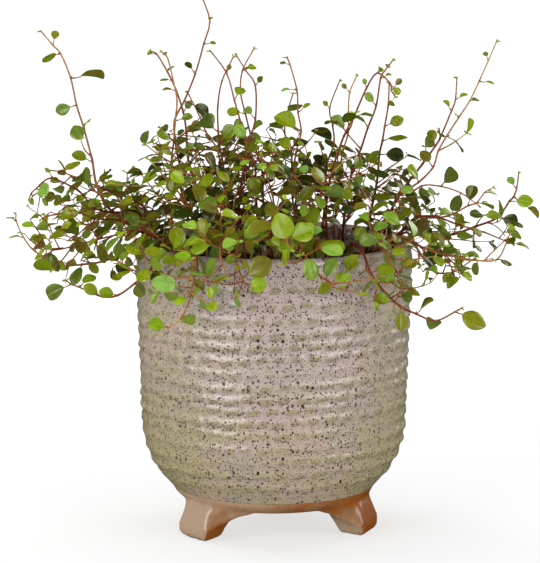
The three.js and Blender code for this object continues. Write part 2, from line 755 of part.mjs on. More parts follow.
// A leaf whose middle is seen at a marked place from the front
function markedLeaf(base, [x, z, length, tilt], along, draw) {
  const distance = Math.hypot(base.x - x, base.z - z);
  const reach = new THREE.Vector3(x, base.y + (draw() - 0.5) * distance, z).sub(base);
  const direction = leanOut(reach.clone().normalize(), along);
  const slope = THREE.MathUtils.degToRad(tilt);
  const light = new THREE.Vector3(0.3 * (draw() - 0.5), -Math.sin(slope), Math.cos(slope));
  return {
    base,
    direction,
    face: faceFor(direction, light),
    length,
    width: length * (0.7 + 0.15 * draw()),
    petiole: Math.max(1.8, reach.length() - length / 2),
    bend: 0.15 + 0.25 * draw(),
  };
}

// A leaf grown by rule: leaning out from the stem, facing up and away from the plant's middle
function grownLeaf(base, along, turn, length, petiole, draw) {
  const sideways = along.clone().cross(Math.abs(along.z) < 0.95 ? UP : new THREE.Vector3(1, 0, 0)).normalize();
  const lean = sideways.applyAxisAngle(along, turn + (draw() - 0.5) * 2.2);
  const direction = lean.multiplyScalar(0.9).addScaledVector(along, 0.35).addScaledVector(UP, 0.2).normalize();
  const outward = new THREE.Vector3(base.x, base.y - 30, 0).normalize();
  const light = outward.multiplyScalar(0.75).addScaledVector(UP, 0.6 + 0.4 * draw());
  light.x += 0.7 * (draw() - 0.5);
  light.y += 0.7 * (draw() - 0.5);
  return {
    base,
    direction,
    face: faceFor(direction, light),
    length,
    width: length * (0.72 + 0.2 * draw()),
    petiole: petiole * (0.8 + 0.5 * draw()),
    bend: 0.2 + 0.4 * draw(),
  };
}

function directionAt(joints, index) {
  const before = joints[Math.max(0, index - 1)].at;
  const after = joints[Math.min(joints.length - 1, index + 1)].at;
  return after.clone().sub(before).normalize();
}

// Growth tries a few draws, and keeps the first that finds room. A limb is what grows out of one
// joint: the points of its stalk, which a leaf on the stem itself hasn't, and its leaf.

function tryMarked(plant, index) {
  const { at, mark } = plant.joints[index];
  for (let attempt = 0; attempt < MARKED_TRIES; attempt += 1) {
    const draw = drawsFor("marked leaf", plant.number, index, attempt);
    const leaf = markedLeaf(at, mark, directionAt(plant.joints, index), draw);
    if (plantLeaf(leaf, plant, ANYWHERE)) {
      plant.limbs.set(index, { stalk: [], leaf });
      return;
    }
  }
}

function tryLeaf(plant, { base, along, turn, length, petiole }, index) {
  for (let attempt = 0; attempt < LEAF_TRIES; attempt += 1) {
    const draw = drawsFor("leaf", plant.number, index, attempt);
    const size = length * (attempt < 5 ? 1 : 0.75) * (0.85 + 0.3 * draw());
    const leaf = grownLeaf(base, along, turn + (attempt > 2 ? Math.PI : 0), size, petiole, draw);
    if (plantLeaf(leaf, plant, MOUND)) {
      return leaf;
    }
  }
  return null;
}

// A twig of two spans that turns up as it goes, with a leaf at its end
function tryTwig(plant, index) {
  const base = plant.joints[index].at;
  const along = directionAt(plant.joints, index);
  for (let attempt = 0; attempt < TWIG_TRIES; attempt += 1) {
    const draw = drawsFor("twig", plant.number, index, attempt);
    const sideways = along.clone().cross(UP).normalize();
    const lean = sideways.applyAxisAngle(along, plant.number + attempt * 0.8 + draw());
    const direction = lean.addScaledVector(along, 0.5).normalize();
    const span = TWIG_SPAN * (1 + 0.55 * draw());
    const points = [base];
    for (let step = 0; step < 2; step += 1) {
      direction.addScaledVector(UP, 0.15);
      direction.x += 0.35 * (draw() - 0.5);
      direction.y += 0.35 * (draw() - 0.5);
      direction.normalize();
      points.push(points[step].clone().addScaledVector(direction, span));
    }
    const probes = [0.25, 0.5, 0.75, 1].flatMap((share) => [0, 1].map(
      (step) => mix(points[step], points[step + 1], share),
    ));
    const clear = probes.every((point) => Math.abs(point.x) < MOUND.x - 6 && Math.abs(point.y) < MOUND.y - 6
      && point.z < MOUND.top && !plant.crowd.meets(point, 1.5, stemOf(plant.name)) && !meetsPot(point, 1.5));
    const end = { base: points[2], along: direction, turn: 0, length: plant.leaf * 0.9, petiole: 0 };
    const leaf = clear && tryLeaf(plant, end, index);
    if (leaf) {
      strewBeads(plant.crowd, points, TWIG_HALF_WIDTH + 0.4, stemOf(plant.name));
      plant.limbs.set(index, { stalk: points.slice(1), leaf });
      return;
    }
  }
}

function growShoots() {
  const entries = Object.entries(SHOOTS);
  const stems = entries.map(([, shoot], number) => stemJoints(shoot, number));
  bendClear(stems);
  const crowd = new Crowd();
  stems.forEach((joints, number) => (
    strewBeads(crowd, joints.map(({ at }) => at), STEM_RADIUS + 0.2, stemOf(entries[number][0]))
  ));
  const plants = entries.map(([name, { root, leaf }], number) => (
    { name, number, crowd, leaf, root, joints: stems[number], limbs: new Map() }
  ));
  const inside = (plant) => plant.joints.map((_, index) => index).slice(1, -1);
  for (const plant of plants) {
    inside(plant).filter((index) => plant.joints[index].mark).forEach((index) => tryMarked(plant, index));
  }
  for (const plant of plants) {
    const free = inside(plant).filter((index) => !plant.limbs.has(index));
    const middle = free.find((index) => plant.joints[index].at.z > 140 && index * 2 >= plant.joints.length - 1);
    if (middle && plant.joints[middle].at.z < LEAFY_TOP) {
      tryTwig(plant, middle);
    }
  }
  for (const plant of plants) {
    const free = inside(plant).filter((index) => !plant.limbs.has(index) && plant.joints[index].at.z < LEAFY_TOP);
    for (const index of free) {
      const { at: base } = plant.joints[index];
      const common = { base, along: directionAt(plant.joints, index), turn: index * Math.PI, length: plant.leaf };
      const leaf = tryLeaf(plant, { ...common, petiole: PETIOLE_LENGTH }, index);
      if (leaf) {
        plant.limbs.set(index, { stalk: [], leaf });
      }
    }
  }
  return plants;
}

// Skins of shoots

function limbRows({ stalk, leaf }) {
  const { across, stations } = leafLine(leaf);
  const row = (at, up, half, thick) => [[1, 1], [-1, 1], [-1, -1], [1, -1]].map(
    ([side, level]) => at.clone().addScaledVector(across, side * half).addScaledVector(up, level * thick),
  );
  const thick = BLADE_THICKNESS / 2;
  const rows = stalk.slice(0, -1).map((at) => row(at, leaf.face, TWIG_HALF_WIDTH, TWIG_HALF_WIDTH));
  if (stalk.length > 0 || leaf.length >= SMALL_LEAF) {
    rows.push(row(stations[1].at, stations[1].up, PETIOLE_HALF_WIDTH, thick));
  }
  rows.push(row(stations[2].at, stations[2].up, leaf.width / 2, thick));
  rows.push(row(stations[3].at, stations[3].up, leaf.width * 0.2, thick));
  return rows;
}

// Grows a limb out of an opening, given as the four points round it
function addLimb(skin, opening, limb) {
  const rows = limbRows(limb);
  const misfit = (shift) => rows[0].reduce(
    (sum, point, i) => sum + point.distanceToSquared(skin.points[opening[(i + shift) % 4]]), 0,
  );
  const shift = [0, 1, 2, 3].reduce((best, next) => (misfit(next) < misfit(best) ? next : best));
  let ring = [0, 1, 2, 3].map((i) => opening[(i + shift) % 4]);
  for (const row of rows) {
    const next = skin.ring(row);
    skin.wall(ring, next);
    ring = next;
  }
  skin.cap(ring);
}

function limbStart({ stalk, leaf }) {
  return (stalk[0] ?? leafLine(leaf).stations[2].at).clone();
}

// Turns a three-sided stem's first edge so that one of its faces looks along the limb that leaves it
function turnToLimb(edge, along, limb) {
  const third = 2 * Math.PI / 3;
  edge.addScaledVector(along, -edge.dot(along)).normalize();
  const angle = Math.atan2(edge.clone().cross(limb).dot(along), edge.dot(limb));
  const side = Math.round(angle / third - 0.5);
  edge.applyAxisAngle(along, angle - (side + 0.5) * third);
  return (side + 3) % 3;
}

function shootGeometry({ root: [x, y], joints, limbs }) {
  const skin = new Skin();
  const out = new THREE.Vector3(1, 0, 0);
  const triangle = (at, along, radius) => {
    out.addScaledVector(along, -out.dot(along)).normalize();
    return [0, 1, 2].map((side) => at.clone().addScaledVector(
      out.clone().applyAxisAngle(along, side * 2 * Math.PI / 3), radius,
    ));
  };
  let ring = skin.ring(triangle(new THREE.Vector3(x, y, STEM_FOOT), UP, STEM_RADIUS));
  skin.cap(ring.slice().reverse());
  joints.forEach(({ at }, index) => {
    const along = index === 0 ? UP : directionAt(joints, index);
    const radius = THREE.MathUtils.lerp(STEM_RADIUS, TIP_RADIUS, index / (joints.length - 1));
    const limb = limbs.get(index);
    const open = limb ? turnToLimb(out, along, limbStart(limb).sub(at)) : -1;
    const places = limb ? [-NODE_HALF_LENGTH, NODE_HALF_LENGTH] : [0];
    const rings = places.map((place) => skin.ring(triangle(at.clone().addScaledVector(along, place), along, radius)));
    skin.wall(ring, rings[0]);
    if (limb) {
      const after = (open + 1) % 3;
      skin.wall(rings[0], rings[1], open);
      addLimb(skin, [rings[0][open], rings[0][after], rings[1][after], rings[1][open]], limb);
    }
    ring = rings[rings.length - 1];
  });
  skin.cap(ring);
  return skin.geometry();
}

const plants = growShoots();
const wireVine = new THREE.Group();
wireVine.add(meshOf("pot", geometryOf(potSolid()), MATERIALS.pot));
wireVine.add(meshOf("soil", geometryOf(soilSolid(plants.map(({ root }) => root))), MATERIALS.soil));
for (const plant of plants) {
  wireVine.add(meshOf(plant.name, shootGeometry(plant), MATERIALS.leafy));
}

export default wireVine;
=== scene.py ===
# A wire vine in a footed stoneware pot: glazed ribbed body over a clay base with three feet, potting
# soil, and leafy shoots grown leaf by leaf. The growth is worked out in millimetres, with +Z up and
# the front towards -Y, and the meshes are made in metres.

import itertools
import math
import random
from types import SimpleNamespace as Thing

import bmesh
import bpy
import numpy as np
from mathutils import Matrix, Vector, noise


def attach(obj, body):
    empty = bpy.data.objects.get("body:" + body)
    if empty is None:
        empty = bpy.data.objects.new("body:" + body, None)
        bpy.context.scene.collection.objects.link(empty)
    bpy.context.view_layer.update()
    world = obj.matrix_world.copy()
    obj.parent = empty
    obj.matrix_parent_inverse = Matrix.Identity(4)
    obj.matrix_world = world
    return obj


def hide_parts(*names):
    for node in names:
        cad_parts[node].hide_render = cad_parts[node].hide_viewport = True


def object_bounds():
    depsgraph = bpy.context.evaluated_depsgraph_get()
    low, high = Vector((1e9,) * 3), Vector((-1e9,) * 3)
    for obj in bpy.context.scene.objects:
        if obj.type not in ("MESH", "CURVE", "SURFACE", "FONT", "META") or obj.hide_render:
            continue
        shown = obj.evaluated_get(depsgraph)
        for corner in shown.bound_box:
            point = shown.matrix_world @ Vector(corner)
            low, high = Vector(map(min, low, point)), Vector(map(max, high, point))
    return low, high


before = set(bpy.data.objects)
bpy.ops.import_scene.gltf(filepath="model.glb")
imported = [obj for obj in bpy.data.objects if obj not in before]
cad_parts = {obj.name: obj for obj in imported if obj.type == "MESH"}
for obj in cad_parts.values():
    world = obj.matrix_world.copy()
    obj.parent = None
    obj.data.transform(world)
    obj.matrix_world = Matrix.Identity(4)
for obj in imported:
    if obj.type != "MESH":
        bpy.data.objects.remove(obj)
CAD_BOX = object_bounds()
MM = 0.001
UP = (0.0, 0.0, 1.0)

# Pot
RIM_HEIGHT, RIM_RADIUS, WALL = 146, 69, 5.5
SHOULDER_HEIGHT, SHOULDER_RADIUS = 58, 66
GLAZE_EDGE_HEIGHT, GLAZE_EDGE_RADIUS = 22.4, 51
FOOT_ANGLES = [219, 339, 99]
SOIL_TOP = 122

# Shoots
STEM_FOOT, STEM_COLLAR = 112.4, SOIL_TOP + 2.4
STEM_RADIUS = 0.95
STEM_STEP, LEAST_STEP = 11, 3
STEM_CLEARANCE = 2.6
BEND_ROUNDS, BEND_SHARE, BEND_REACH = 40, 0.55, 32
CURVE_STEPS = 12
ZIGZAG = 0.7
PETIOLE_LENGTH = 2.6
LEAFY_TOP = 203
# How far behind the pot's axis the middle is that leaves grow away from
MIDDLE_DEPTH = 30
TWIG_BOTTOM, TWIG_SPAN = 140, 7
# Half widths of the beads that stand in for stems, twigs and side twigs, and the step between beads
STEM_BEAD, TWIG_BEAD, SIDE_BEAD, BEAD_STEP = 1.15, 0.82, 0.7, 1.3
# What draws are made for, and how many tries there are to find room for it
TRIES = {"stem": 1, "marked leaf": 6, "twig": 8, "leaf": 9, "side twig": 1, "side leaf": 5, "looks": 1}

# Limits for growth: half width, half depth, bottom and top. Growth by rule stays in the mound.
ANYWHERE = (140, 110, 90, 280)
MOUND = (124, 99, 104, 214)
TWIG_ROOM = (118, 93, -math.inf, 214)
SIDE_ROOM = (124, 91, 104, 214)
SIDE_TWIG_ROOM = (119, 91, 110, 211)
TOP_ROOM = (127, 91, 90, 262)

# Each shoot: its root in the soil (x, y) and the length of its common leaves, the points its stem
# passes, and the leaves that stand out on it: middle of the blade seen from the front (x, z), length,
# and the blade's tilt, from 0 for level to 90 for facing the front.
SHOOTS = {
    "tall_01": ((-40, -4), 9,
        [(-73, -2, 155), (-84, 0, 165), (-89, 2, 178), (-94, 3, 198), (-99, 4, 216), (-104, 5, 236),
         (-115, 6, 249)],
        [(-110, 248, 5, 80), (-112, 237, 8.5, 35), (-90, 229, 12, 5), (-105, 211, 8.5, 80),
         (-91, 207, 10, 60), (-95, 190, 8, 60), (-100, 184, 9, 25)]),
    "tall_02": ((-28, 10), 8,
        [(-38, 10, 169), (-44, 12, 189), (-44, 12, 206), (-49, 12, 222), (-56, 12, 235), (-61, 12, 239)],
        [(-62, 239, 3.5, 40), (-53, 221, 5, 10), (-43, 213, 5, 60)]),
    "tall_03": ((-34, -8), 8,
        [(-45, -6, 167), (-50, -6, 184), (-48, -5, 206), (-49, -5, 223), (-51, -5, 233), (-55, -5, 240)],
        [(-54, 241, 3.5, 70), (-54, 227, 4.5, 15), (-43, 208, 6, 50)]),
    "tall_04": ((-22, 2), 8,
        [(-39, 2, 168), (-47, 3, 185), (-50, 3, 202), (-44, 3, 215), (-39, 3, 230), (-33, 3, 247),
         (-32, 3, 258), (-35, 3, 266)],
        [(-30, 244, 3.5, 40), (-42, 233, 5, 20), (-35, 211, 9, 60)]),
    "tall_05": ((-6, 8), 8,
        [(-9, 8, 175), (-14, 9, 195), (-19, 9, 215), (-25, 9, 230), (-31, 9, 239)],
        [(-24, 232, 3.5, 60), (-18, 221, 7, 80)]),
    "tall_06": ((-20, -14), 9,
        [(-24, -14, 173), (-26, -13, 194), (-27, -12, 215), (-24, -12, 229), (-20, -12, 238)],
        [(-31, 208, 10, 70), (-23, 202, 9, 60)]),
    "tall_07": ((-12, -24), 9,
        [(-17, -26, 169), (-14, -25, 186), (-10, -24, 206), (-9, -24, 222), (-13, -24, 233),
         (-18, -24, 240)],
        [(-7, 229, 4, 60), (-12, 214, 6, 50)]),
    "tall_08": ((-2, 20), 8,
        [(-6, 22, 176), (-11, 24, 196), (-17, 24, 216), (-15, 24, 229), (-10, 24, 239)],
        [(-11, 231, 5, 60), (-20, 208, 7, 60)]),
    "tall_09": ((12, 4), 9,
        [(10, 5, 178), (13, 6, 198), (12, 6, 215), (7, 6, 236)],
        [(5, 235, 3.5, 50), (6, 221, 4.5, 20), (16, 213, 4.5, 30), (6, 205, 12, 45)]),
    "tall_10": ((24, 16), 9,
        [(26, 18, 174), (31, 20, 193), (29, 20, 211), (33, 20, 223)],
        [(27, 213, 3.5, 70), (27, 199, 12, 25)]),
    "tall_11": ((30, 28), 8,
        [(34, 32, 174), (38, 36, 197), (39, 36, 216), (42, 36, 224)],
        [(37, 220, 3.5, 80), (34, 202, 9, 45)]),
    "tall_12": ((34, 2), 8,
        [(38, 2, 176), (45, 3, 195), (51, 3, 214), (54, 3, 227), (59, 3, 235)],
        [(48, 217, 6, 70), (57, 229, 3.5, 20), (58, 234, 4.5, 80)]),
    "tall_13": ((26, -10), 9,
        [(27, -12, 175), (34, -13, 197), (42, -13, 215), (49, -13, 229), (55, -12, 229), (58, -12, 223)],
        [(46, 227, 3.5, 80), (45, 213, 7, 15), (60, 227, 4.5, 70), (61, 221, 5, 70)]),
    "tall_14": ((44, 12), 9,
        [(51, 14, 172), (54, 16, 188), (57, 16, 205), (58, 16, 222)],
        [(61, 205, 7.5, 70), (62, 197, 10, 15), (61, 187, 9, 70)]),
    "tall_15": ((42, -12), 9,
        [(58, -14, 163), (77, -16, 183), (85, -17, 200), (92, -18, 212), (102, -18, 228), (109, -18, 246)],
        [(105, 241, 3.5, 60), (106, 227, 4.5, 20), (92, 196, 8.5, 10), (75, 190, 7, 50)]),
    "tall_16": ((46, 0), 8,
        [(62, 0, 167), (73, 1, 182), (84, 1, 197), (88, 1, 206), (90, 1, 215), (91, 1, 226)],
        [(94, 219, 4.5, 25), (86, 214, 4.5, 25), (83, 202, 7.5, 80), (79, 198, 7, 50)]),
    "left_1": ((-44, -20), 9,
        [(-60, -28, 153), (-77, -26, 141), (-97, -23, 136), (-114, -21, 141), (-124, -20, 152),
         (-127, -20, 161)],
        [(-129, 163, 5.5, 10), (-128, 153, 6.5, 10), (-119, 149, 6, 60), (-111, 139, 9.5, 70)]),
    "left_2": ((-38, -34), 10,
        [(-52, -50, 151), (-60, -60, 140), (-76, -58, 126), (-89, -51, 127), (-98, -47, 131)],
        [(-107, 129, 10, 60), (-89, 129, 8, 70), (-81, 128, 7.5, 60), (-90, 134, 8, 20)]),
    "left_3": ((-42, 4), 9,
        [(-67, 2, 158), (-84, -5, 160), (-97, -4, 170), (-106, -4, 176), (-113, -6, 178), (-118, -8, 172)],
        [(-113, 181, 4, 20), (-121, 166, 4, 20), (-116, 170, 6, 50), (-111, 168, 7, 80),
         (-102, 175, 9, 70)]),
    "left_4": ((-38, 18), 9,
        [(-67, 18, 161), (-88, 20, 169), (-102, 22, 175), (-113, 22, 178)], [(-101, 180, 9, 15)]),
    "left_5": ((-46, -12), 10,
        [(-69, -12, 154), (-87, -14, 158), (-101, -15, 162), (-112, -15, 159)],
        [(-117, 159, 6, 10), (-100, 154, 10.5, 80), (-84, 158, 10, 40)]),
    "left_6": ((-36, -26), 10,
        [(-60, -38, 154), (-79, -42, 153), (-94, -42, 149), (-108, -42, 147), (-117, -42, 152)],
        [(-81, 148, 10, 20), (-75, 147, 8, 60), (-70, 160, 7.5, 60)]),
    "right_1": ((30, -42), 9,
        [(40, -60, 152), (48, -74, 139), (60, -74, 125), (73, -66, 118), (82, -62, 115), (88, -60, 119)],
        [(97, 117, 13, 50), (73, 125, 8, 10)]),
    "right_2": ((50, -14), 9,
        [(64, -18, 151), (76, -24, 136), (88, -26, 133), (98, -28, 140)],
        [(92, 139, 8, 70), (79, 142, 10, 75), (75, 137, 8, 60)]),
    "right_3": ((42, -26), 9,
        [(58, -36, 153), (74, -40, 147), (94, -40, 142), (108, -38, 140), (114, -36, 149), (116, -36, 156)],
        [(122, 149, 7, 10), (109, 147, 7.5, 50)]),
    "right_4": ((46, 7), 9,
        [(66, 6, 150), (83, 4, 147), (101, 0, 152), (114, -2, 160), (122, -2, 172), (122, -2, 179)],
        [(119, 176, 5.5, 60), (125, 167, 8.5, 80), (119, 160, 10, 80), (130, 160, 7.5, 8)]),
    "right_5": ((40, 22), 9,
        [(60, 26, 155), (80, 32, 153), (97, 36, 156), (112, 38, 167)],
        [(105, 162, 8, 40), (113, 167, 6.5, 30), (110, 159, 8, 10)]),
    "right_6": ((50, -5), 9,
        [(70, -10, 157), (87, -14, 156), (103, -16, 152), (118, -16, 146)],
        [(87, 160, 9, 30), (98, 154, 8, 60)]),
    "front_1": ((-30, -40), 9,
        [(-36, -60, 152), (-37, -78, 142), (-40, -80, 128), (-46, -78, 115), (-53, -76, 115)],
        [(-52, 137, 12, 80), (-41, 138, 9.5, 50), (-29, 126, 8, 60), (-56, 116, 8, 70)]),
    "front_2": ((-12, -46), 11,
        [(-14, -66, 153), (-18, -79, 146), (-12, -83, 136)], [(-7, 145, 13, 70), (-6, 136, 11, 80)]),
    "front_3": ((12, -48), 10,
        [(12, -66, 152), (18, -79, 144), (27, -81, 136), (39, -79, 132)],
        [(26, 133, 9.5, 70), (33, 140, 8.5, 40), (24, 145, 10, 20)]),
    "front_4": ((22, -44), 12,
        [(20, -62, 154), (22, -78, 153), (15, -88, 152)], [(20, 150, 14, 65), (5, 148, 12, 60)]),
    "front_5": ((2, -42), 13,
        [(-1, -62, 158), (3, -80, 162), (6, -92, 157)], [(4, 166, 13, 60), (14, 162, 12, 75)]),
    "front_6": ((-20, -44), 12,
        [(-24, -64, 153), (-26, -80, 151), (-22, -89, 141)],
        [(-20, 131, 10, 70), (-15, 152, 12, 50), (-27, 157, 14, 30)]),
    "front_7": ((38, -34), 9,
        [(50, -54, 152), (57, -67, 145), (61, -69, 134), (59, -69, 126)],
        [(54, 138, 9, 70), (48, 141, 6, 40), (52, 127, 8, 70), (66, 130, 8, 20)]),
    "core_1": ((-16, -32), 11, [(-22, -38, 162), (-29, -44, 176), (-34, -48, 187)], []),
    "core_2": ((4, -30), 11, [(1, -42, 165), (-2, -48, 181), (-6, -50, 194)], []),
    "core_3": ((20, -28), 11, [(21, -38, 165), (25, -46, 180), (33, -50, 190)], []),
    "core_4": ((-30, -18), 10, [(-41, -24, 166), (-52, -30, 179), (-61, -32, 190)], []),
    "back_1": ((-28, 28), 10, [(-48, 56, 158), (-62, 76, 149), (-70, 90, 134)], [(-74, 134, 10, 40)]),
    "back_2": ((-12, 42), 10, [(-16, 64, 160), (-20, 86, 156), (-28, 97, 142)], []),
    "back_3": ((8, 44), 10, [(14, 66, 156), (22, 84, 146), (25, 95, 130)], []),
    "back_4": ((28, 38), 10, [(44, 60, 160), (60, 78, 158), (72, 90, 148)], []),
    "back_5": ((-46, 16), 10, [(-70, 38, 158), (-89, 50, 150), (-104, 60, 137)], []),
    "back_6": ((44, 32), 10, [(70, 48, 162), (90, 58, 164), (106, 62, 155)], []),
    "back_7": ((-18, 26), 9, [(-26, 44, 176), (-36, 56, 197), (-44, 62, 213)], []),
    "back_8": ((14, 28), 9, [(10, 46, 178), (6, 58, 196), (10, 66, 212)], []),
}


# Vectors of three plain numbers

def moved(a, way, far=1):
    return (a[0] + way[0] * far, a[1] + way[1] * far, a[2] + way[2] * far)


def minus(a, b):
    return moved(a, b, -1)


def times(a, factor):
    return (a[0] * factor, a[1] * factor, a[2] * factor)


def dot(a, b):
    return a[0] * b[0] + a[1] * b[1] + a[2] * b[2]


def cross(a, b):
    return (a[1] * b[2] - a[2] * b[1], a[2] * b[0] - a[0] * b[2], a[0] * b[1] - a[1] * b[0])


def distance(a, b=(0, 0, 0)):
    gap = minus(a, b)
    return math.sqrt(dot(gap, gap))


def unit(a):
    return times(a, 1 / (distance(a) or 1))


def mix(a, b, share):
    return moved(a, minus(b, a), share)


def turned(a, axis, angle):
    q = times(axis, math.sin(angle / 2))
    twist = times(cross(q, a), 2)
    return moved(moved(a, twist, math.cos(angle / 2)), cross(q, twist))


def sideways_of(along, steepest=0.95):
    return unit(cross(along, UP if abs(along[2]) < steepest else (1.0, 0.0, 0.0)))


def direction_at(points, index):
    return unit(minus(points[min(len(points) - 1, index + 1)], points[max(0, index - 1)]))


def clamp(value, low=0, high=1):
    return max(low, min(high, value))


# Seeded draws between 0 and 1, of their own for each thing that is grown: its kind, its shoot's
# number, its joint and the try
def draws_for(kind, number, joint, attempt):
    state = ((list(TRIES).index(kind) * 64 + number) * 32 + joint) * 16 + attempt

    def draw():
        nonlocal state
        state = (state + 0x6D2B79F5) & 0xFFFFFFFF
        t = ((state ^ (state >> 15)) * (state | 1)) & 0xFFFFFFFF
        t ^= (t + (((t ^ (t >> 7)) * (t | 61)) & 0xFFFFFFFF)) & 0xFFFFFFFF
        return ((t ^ (t >> 14)) & 0xFFFFFFFF) / 2 ** 32

    return draw


# Stems: a row of joints along a smooth curve. Each marked leaf has a joint where it fits best, and
# the rest of the stem is shared out evenly. Like wire vine, it zigzags a little from joint to joint.

def curve_point(points, share):
    place = (len(points) - 1) * share
    first = min(math.floor(place), len(points) - 2)
    t = place - first
    start, end = (moved(minus(points[a], points[b]), points[a]) for a, b in ((0, 1), (-1, -2)))
    spot = []
    for before, one, two, after in zip(*[start, *points, end][first:first + 4]):
        leave, arrive = 0.5 * (two - before), 0.5 * (after - one)
        square = -3 * one + 3 * two - 2 * leave - arrive
        cube = 2 * one - 2 * two + leave + arrive
        spot.append(one + leave * t + square * t * t + cube * t * t * t)
    return tuple(spot)


# How badly a petiole that starts at a point reaches a marked leaf. It does so rather from below.
def miss_of(point, mark):
    x, z, length, _ = mark
    gap = math.hypot(point[0] - x, point[2] - z) - length / 2 - PETIOLE_LENGTH
    return abs(gap) + (0.6 if point[2] > z else 0)


def stem_joints(root, via, marks, number):
    guide = [(*root, STEM_COLLAR)] + via
    count = len(via) * CURVE_STEPS
    points = [curve_point(guide, i / count) for i in range(count + 1)]
    reach = [0.0]
    for one, two in zip(points, points[1:]):
        reach.append(reach[-1] + distance(two, one))
    stops = []
    for mark in marks:
        stops.append((reach[min(range(1, count + 1), key=lambda i: miss_of(points[i], mark))], mark))
    places = [(0.0, None)]
    for stop, mark in sorted(stops, key=lambda stop: stop[0]) + [(reach[-1], None)]:
        before = places[-1][0]
        place = max(stop, before + LEAST_STEP)
        gaps = max(1, math.floor((place - before) / STEM_STEP + 0.5))
        places += [((1 - gap / gaps) * before + gap / gaps * place, None) for gap in range(1, gaps)]
        places.append((place, mark))
    draw = draws_for("stem", number, 0, 0)
    joints = []
    for i, (place, _) in enumerate(places):
        goal = min(place, reach[-1]) - 1e-9
        after = max(1, next(k for k, value in enumerate(reach) if value >= goal))
        start, end = points[after - 1], points[after]
        at = mix(start, end, (place - reach[after - 1]) / (reach[after] - reach[after - 1]))
        swing = unit(cross(unit(minus(end, start)), (draw() - 0.5, draw() - 0.5, draw() - 0.5)))
        if 0 < i < len(places) - 1:
            at = moved(at, swing, ZIGZAG if i % 2 else -ZIGZAG)
        joints.append(at)
    return joints, [mark for _, mark in places]


# The nearest points of segments a-b and c-d, as shares of their lengths, and the step between them
def nearest(a, b, c, d):
    u, v, w = minus(b, a), minus(d, c), minus(a, c)
    uu, uv, vv, uw, vw = dot(u, u), dot(u, v), dot(v, v), dot(u, w), dot(v, w)
    spread = uu * vv - uv * uv
    first = clamp((uv * vw - vv * uw) / spread if spread > 1e-9 else 0.5)
    t = clamp((uv * first + vw) / vv)
    s = clamp((uv * t - uw) / uu)
    return s, t, moved(moved(w, u, s), v, -t)


# How far a ball has to move to leave the pot's wall, the shortest way up, out or in
def way_out_of_pot(point, radius):
    spread = math.hypot(point[0], point[1])
    up = RIM_HEIGHT + radius - point[2]
    out = RIM_RADIUS + 2 + radius - spread
    inwards = spread + radius - (RIM_RADIUS - WALL - 1)
    if up <= 0 or out <= 0 or inwards <= 0:
        return None
    if up <= min(out, inwards):
        return (0.0, 0.0, up)
    step = out if out <= inwards else -inwards
    return (point[0] / spread * step, point[1] / spread * step, 0.0)


# Moves a point of a span by moving the joints at its ends. A collar stays over its hole.
def push_span(span, share, step):
    joints, i = span
    if i > 0:
        joints[i] = moved(joints[i], step, 1 - share)
    joints[i + 1] = moved(joints[i + 1], step, share)


def bend_apart(one, two):
    (first, i), (second, k) = one, two
    if first is second or distance(first[i], second[k]) > BEND_REACH:
        return False
    s, t, gap = nearest(first[i], first[i + 1], second[k], second[k + 1])
    apart = distance(gap)
    if apart >= STEM_CLEARANCE or apart < 1e-6:
        return False
    step = times(gap, BEND_SHARE * (STEM_CLEARANCE - apart) / apart)
    push_span(one, s, step)
    push_span(two, t, times(step, -1))
    return True


def bend_off_pot(span):
    joints, i = span
    shifted = False
    for share in (0, 0.25, 0.5, 0.75, 1):
        step = way_out_of_pot(mix(joints[i], joints[i + 1], share), STEM_RADIUS + 0.4)
        if step:
            push_span(span, share, step)
            shifted = True
    return shifted


# Stems that would cross each other or the pot are bent apart, a little at a time
def bend_clear(stems):
    spans = [(joints, i) for joints in stems for i in range(len(joints) - 1)]
    for _ in range(BEND_ROUNDS):
        ends = np.array([joints[i:i + 2] for joints, i in spans])
        middle = ends.mean(axis=1)
        half = np.linalg.norm(ends[:, 1] - ends[:, 0], axis=1) / 2
        gap = np.linalg.norm(middle[:, None] - middle, axis=2) - half[:, None] - half
        pairs = np.argwhere(np.triu(gap < STEM_CLEARANCE + 4, 1))
        shifts = [bend_apart(spans[one], spans[two]) for one, two in pairs]
        if not any(shifts + [bend_off_pot(span) for span in spans]):
            break


# Beads: small balls that stand in for stems and leaves where new growth looks for free room

BEAD_CELL = 4
beads = {}


def cell_of(point):
    return tuple(math.floor(value / BEAD_CELL) for value in point)


def add_bead(point, radius, owner):
    beads.setdefault(cell_of(point), []).append((point, radius, owner))


def strew_beads(points, radius, owner):
    for one, two in zip(points, points[1:]):
        count = math.ceil(distance(one, two) / BEAD_STEP)
        for step in range(count):
            add_bead(mix(one, two, step / count), radius, owner)


# Whether a ball meets a bead, other than those of the owner that is left out
def meets_bead(point, radius, left_out=""):
    return any(
        owner != left_out and distance(bead, point) < size + radius
        for cell in itertools.product(*(range(k - 1, k + 2) for k in cell_of(point)))
        for bead, size, owner in beads.get(cell, ())
    )


# Whether a ball inside the limits meets no bead, nor the pot's wall or the soil
def is_free(point, radius, limits, slimmer=1, left_out=""):
    x, y, z = point
    wide, deep, bottom, top = limits
    in_soil = math.hypot(x, y) < RIM_RADIUS - WALL and z - radius < SOIL_TOP + 2
    return (
        abs(x) < wide and abs(y) < deep and bottom < z < top and not in_soil
        and not meets_bead(point, radius * slimmer, left_out) and way_out_of_pot(point, radius) is None
    )


# A leaf's stations, from its base over the neck and the broadest place to the blunt tip. The blade
# bends down as it goes.
def leaf_line(leaf):
    across = unit(cross(leaf.face, leaf.way))
    stations = [leaf.base, moved(leaf.base, leaf.way, leaf.petiole)]
    for part in (0.5, 1):
        heading = turned(leaf.way, across, leaf.bend * part)
        stations.append(moved(stations[-1], heading, leaf.length / 2))
    return across, stations


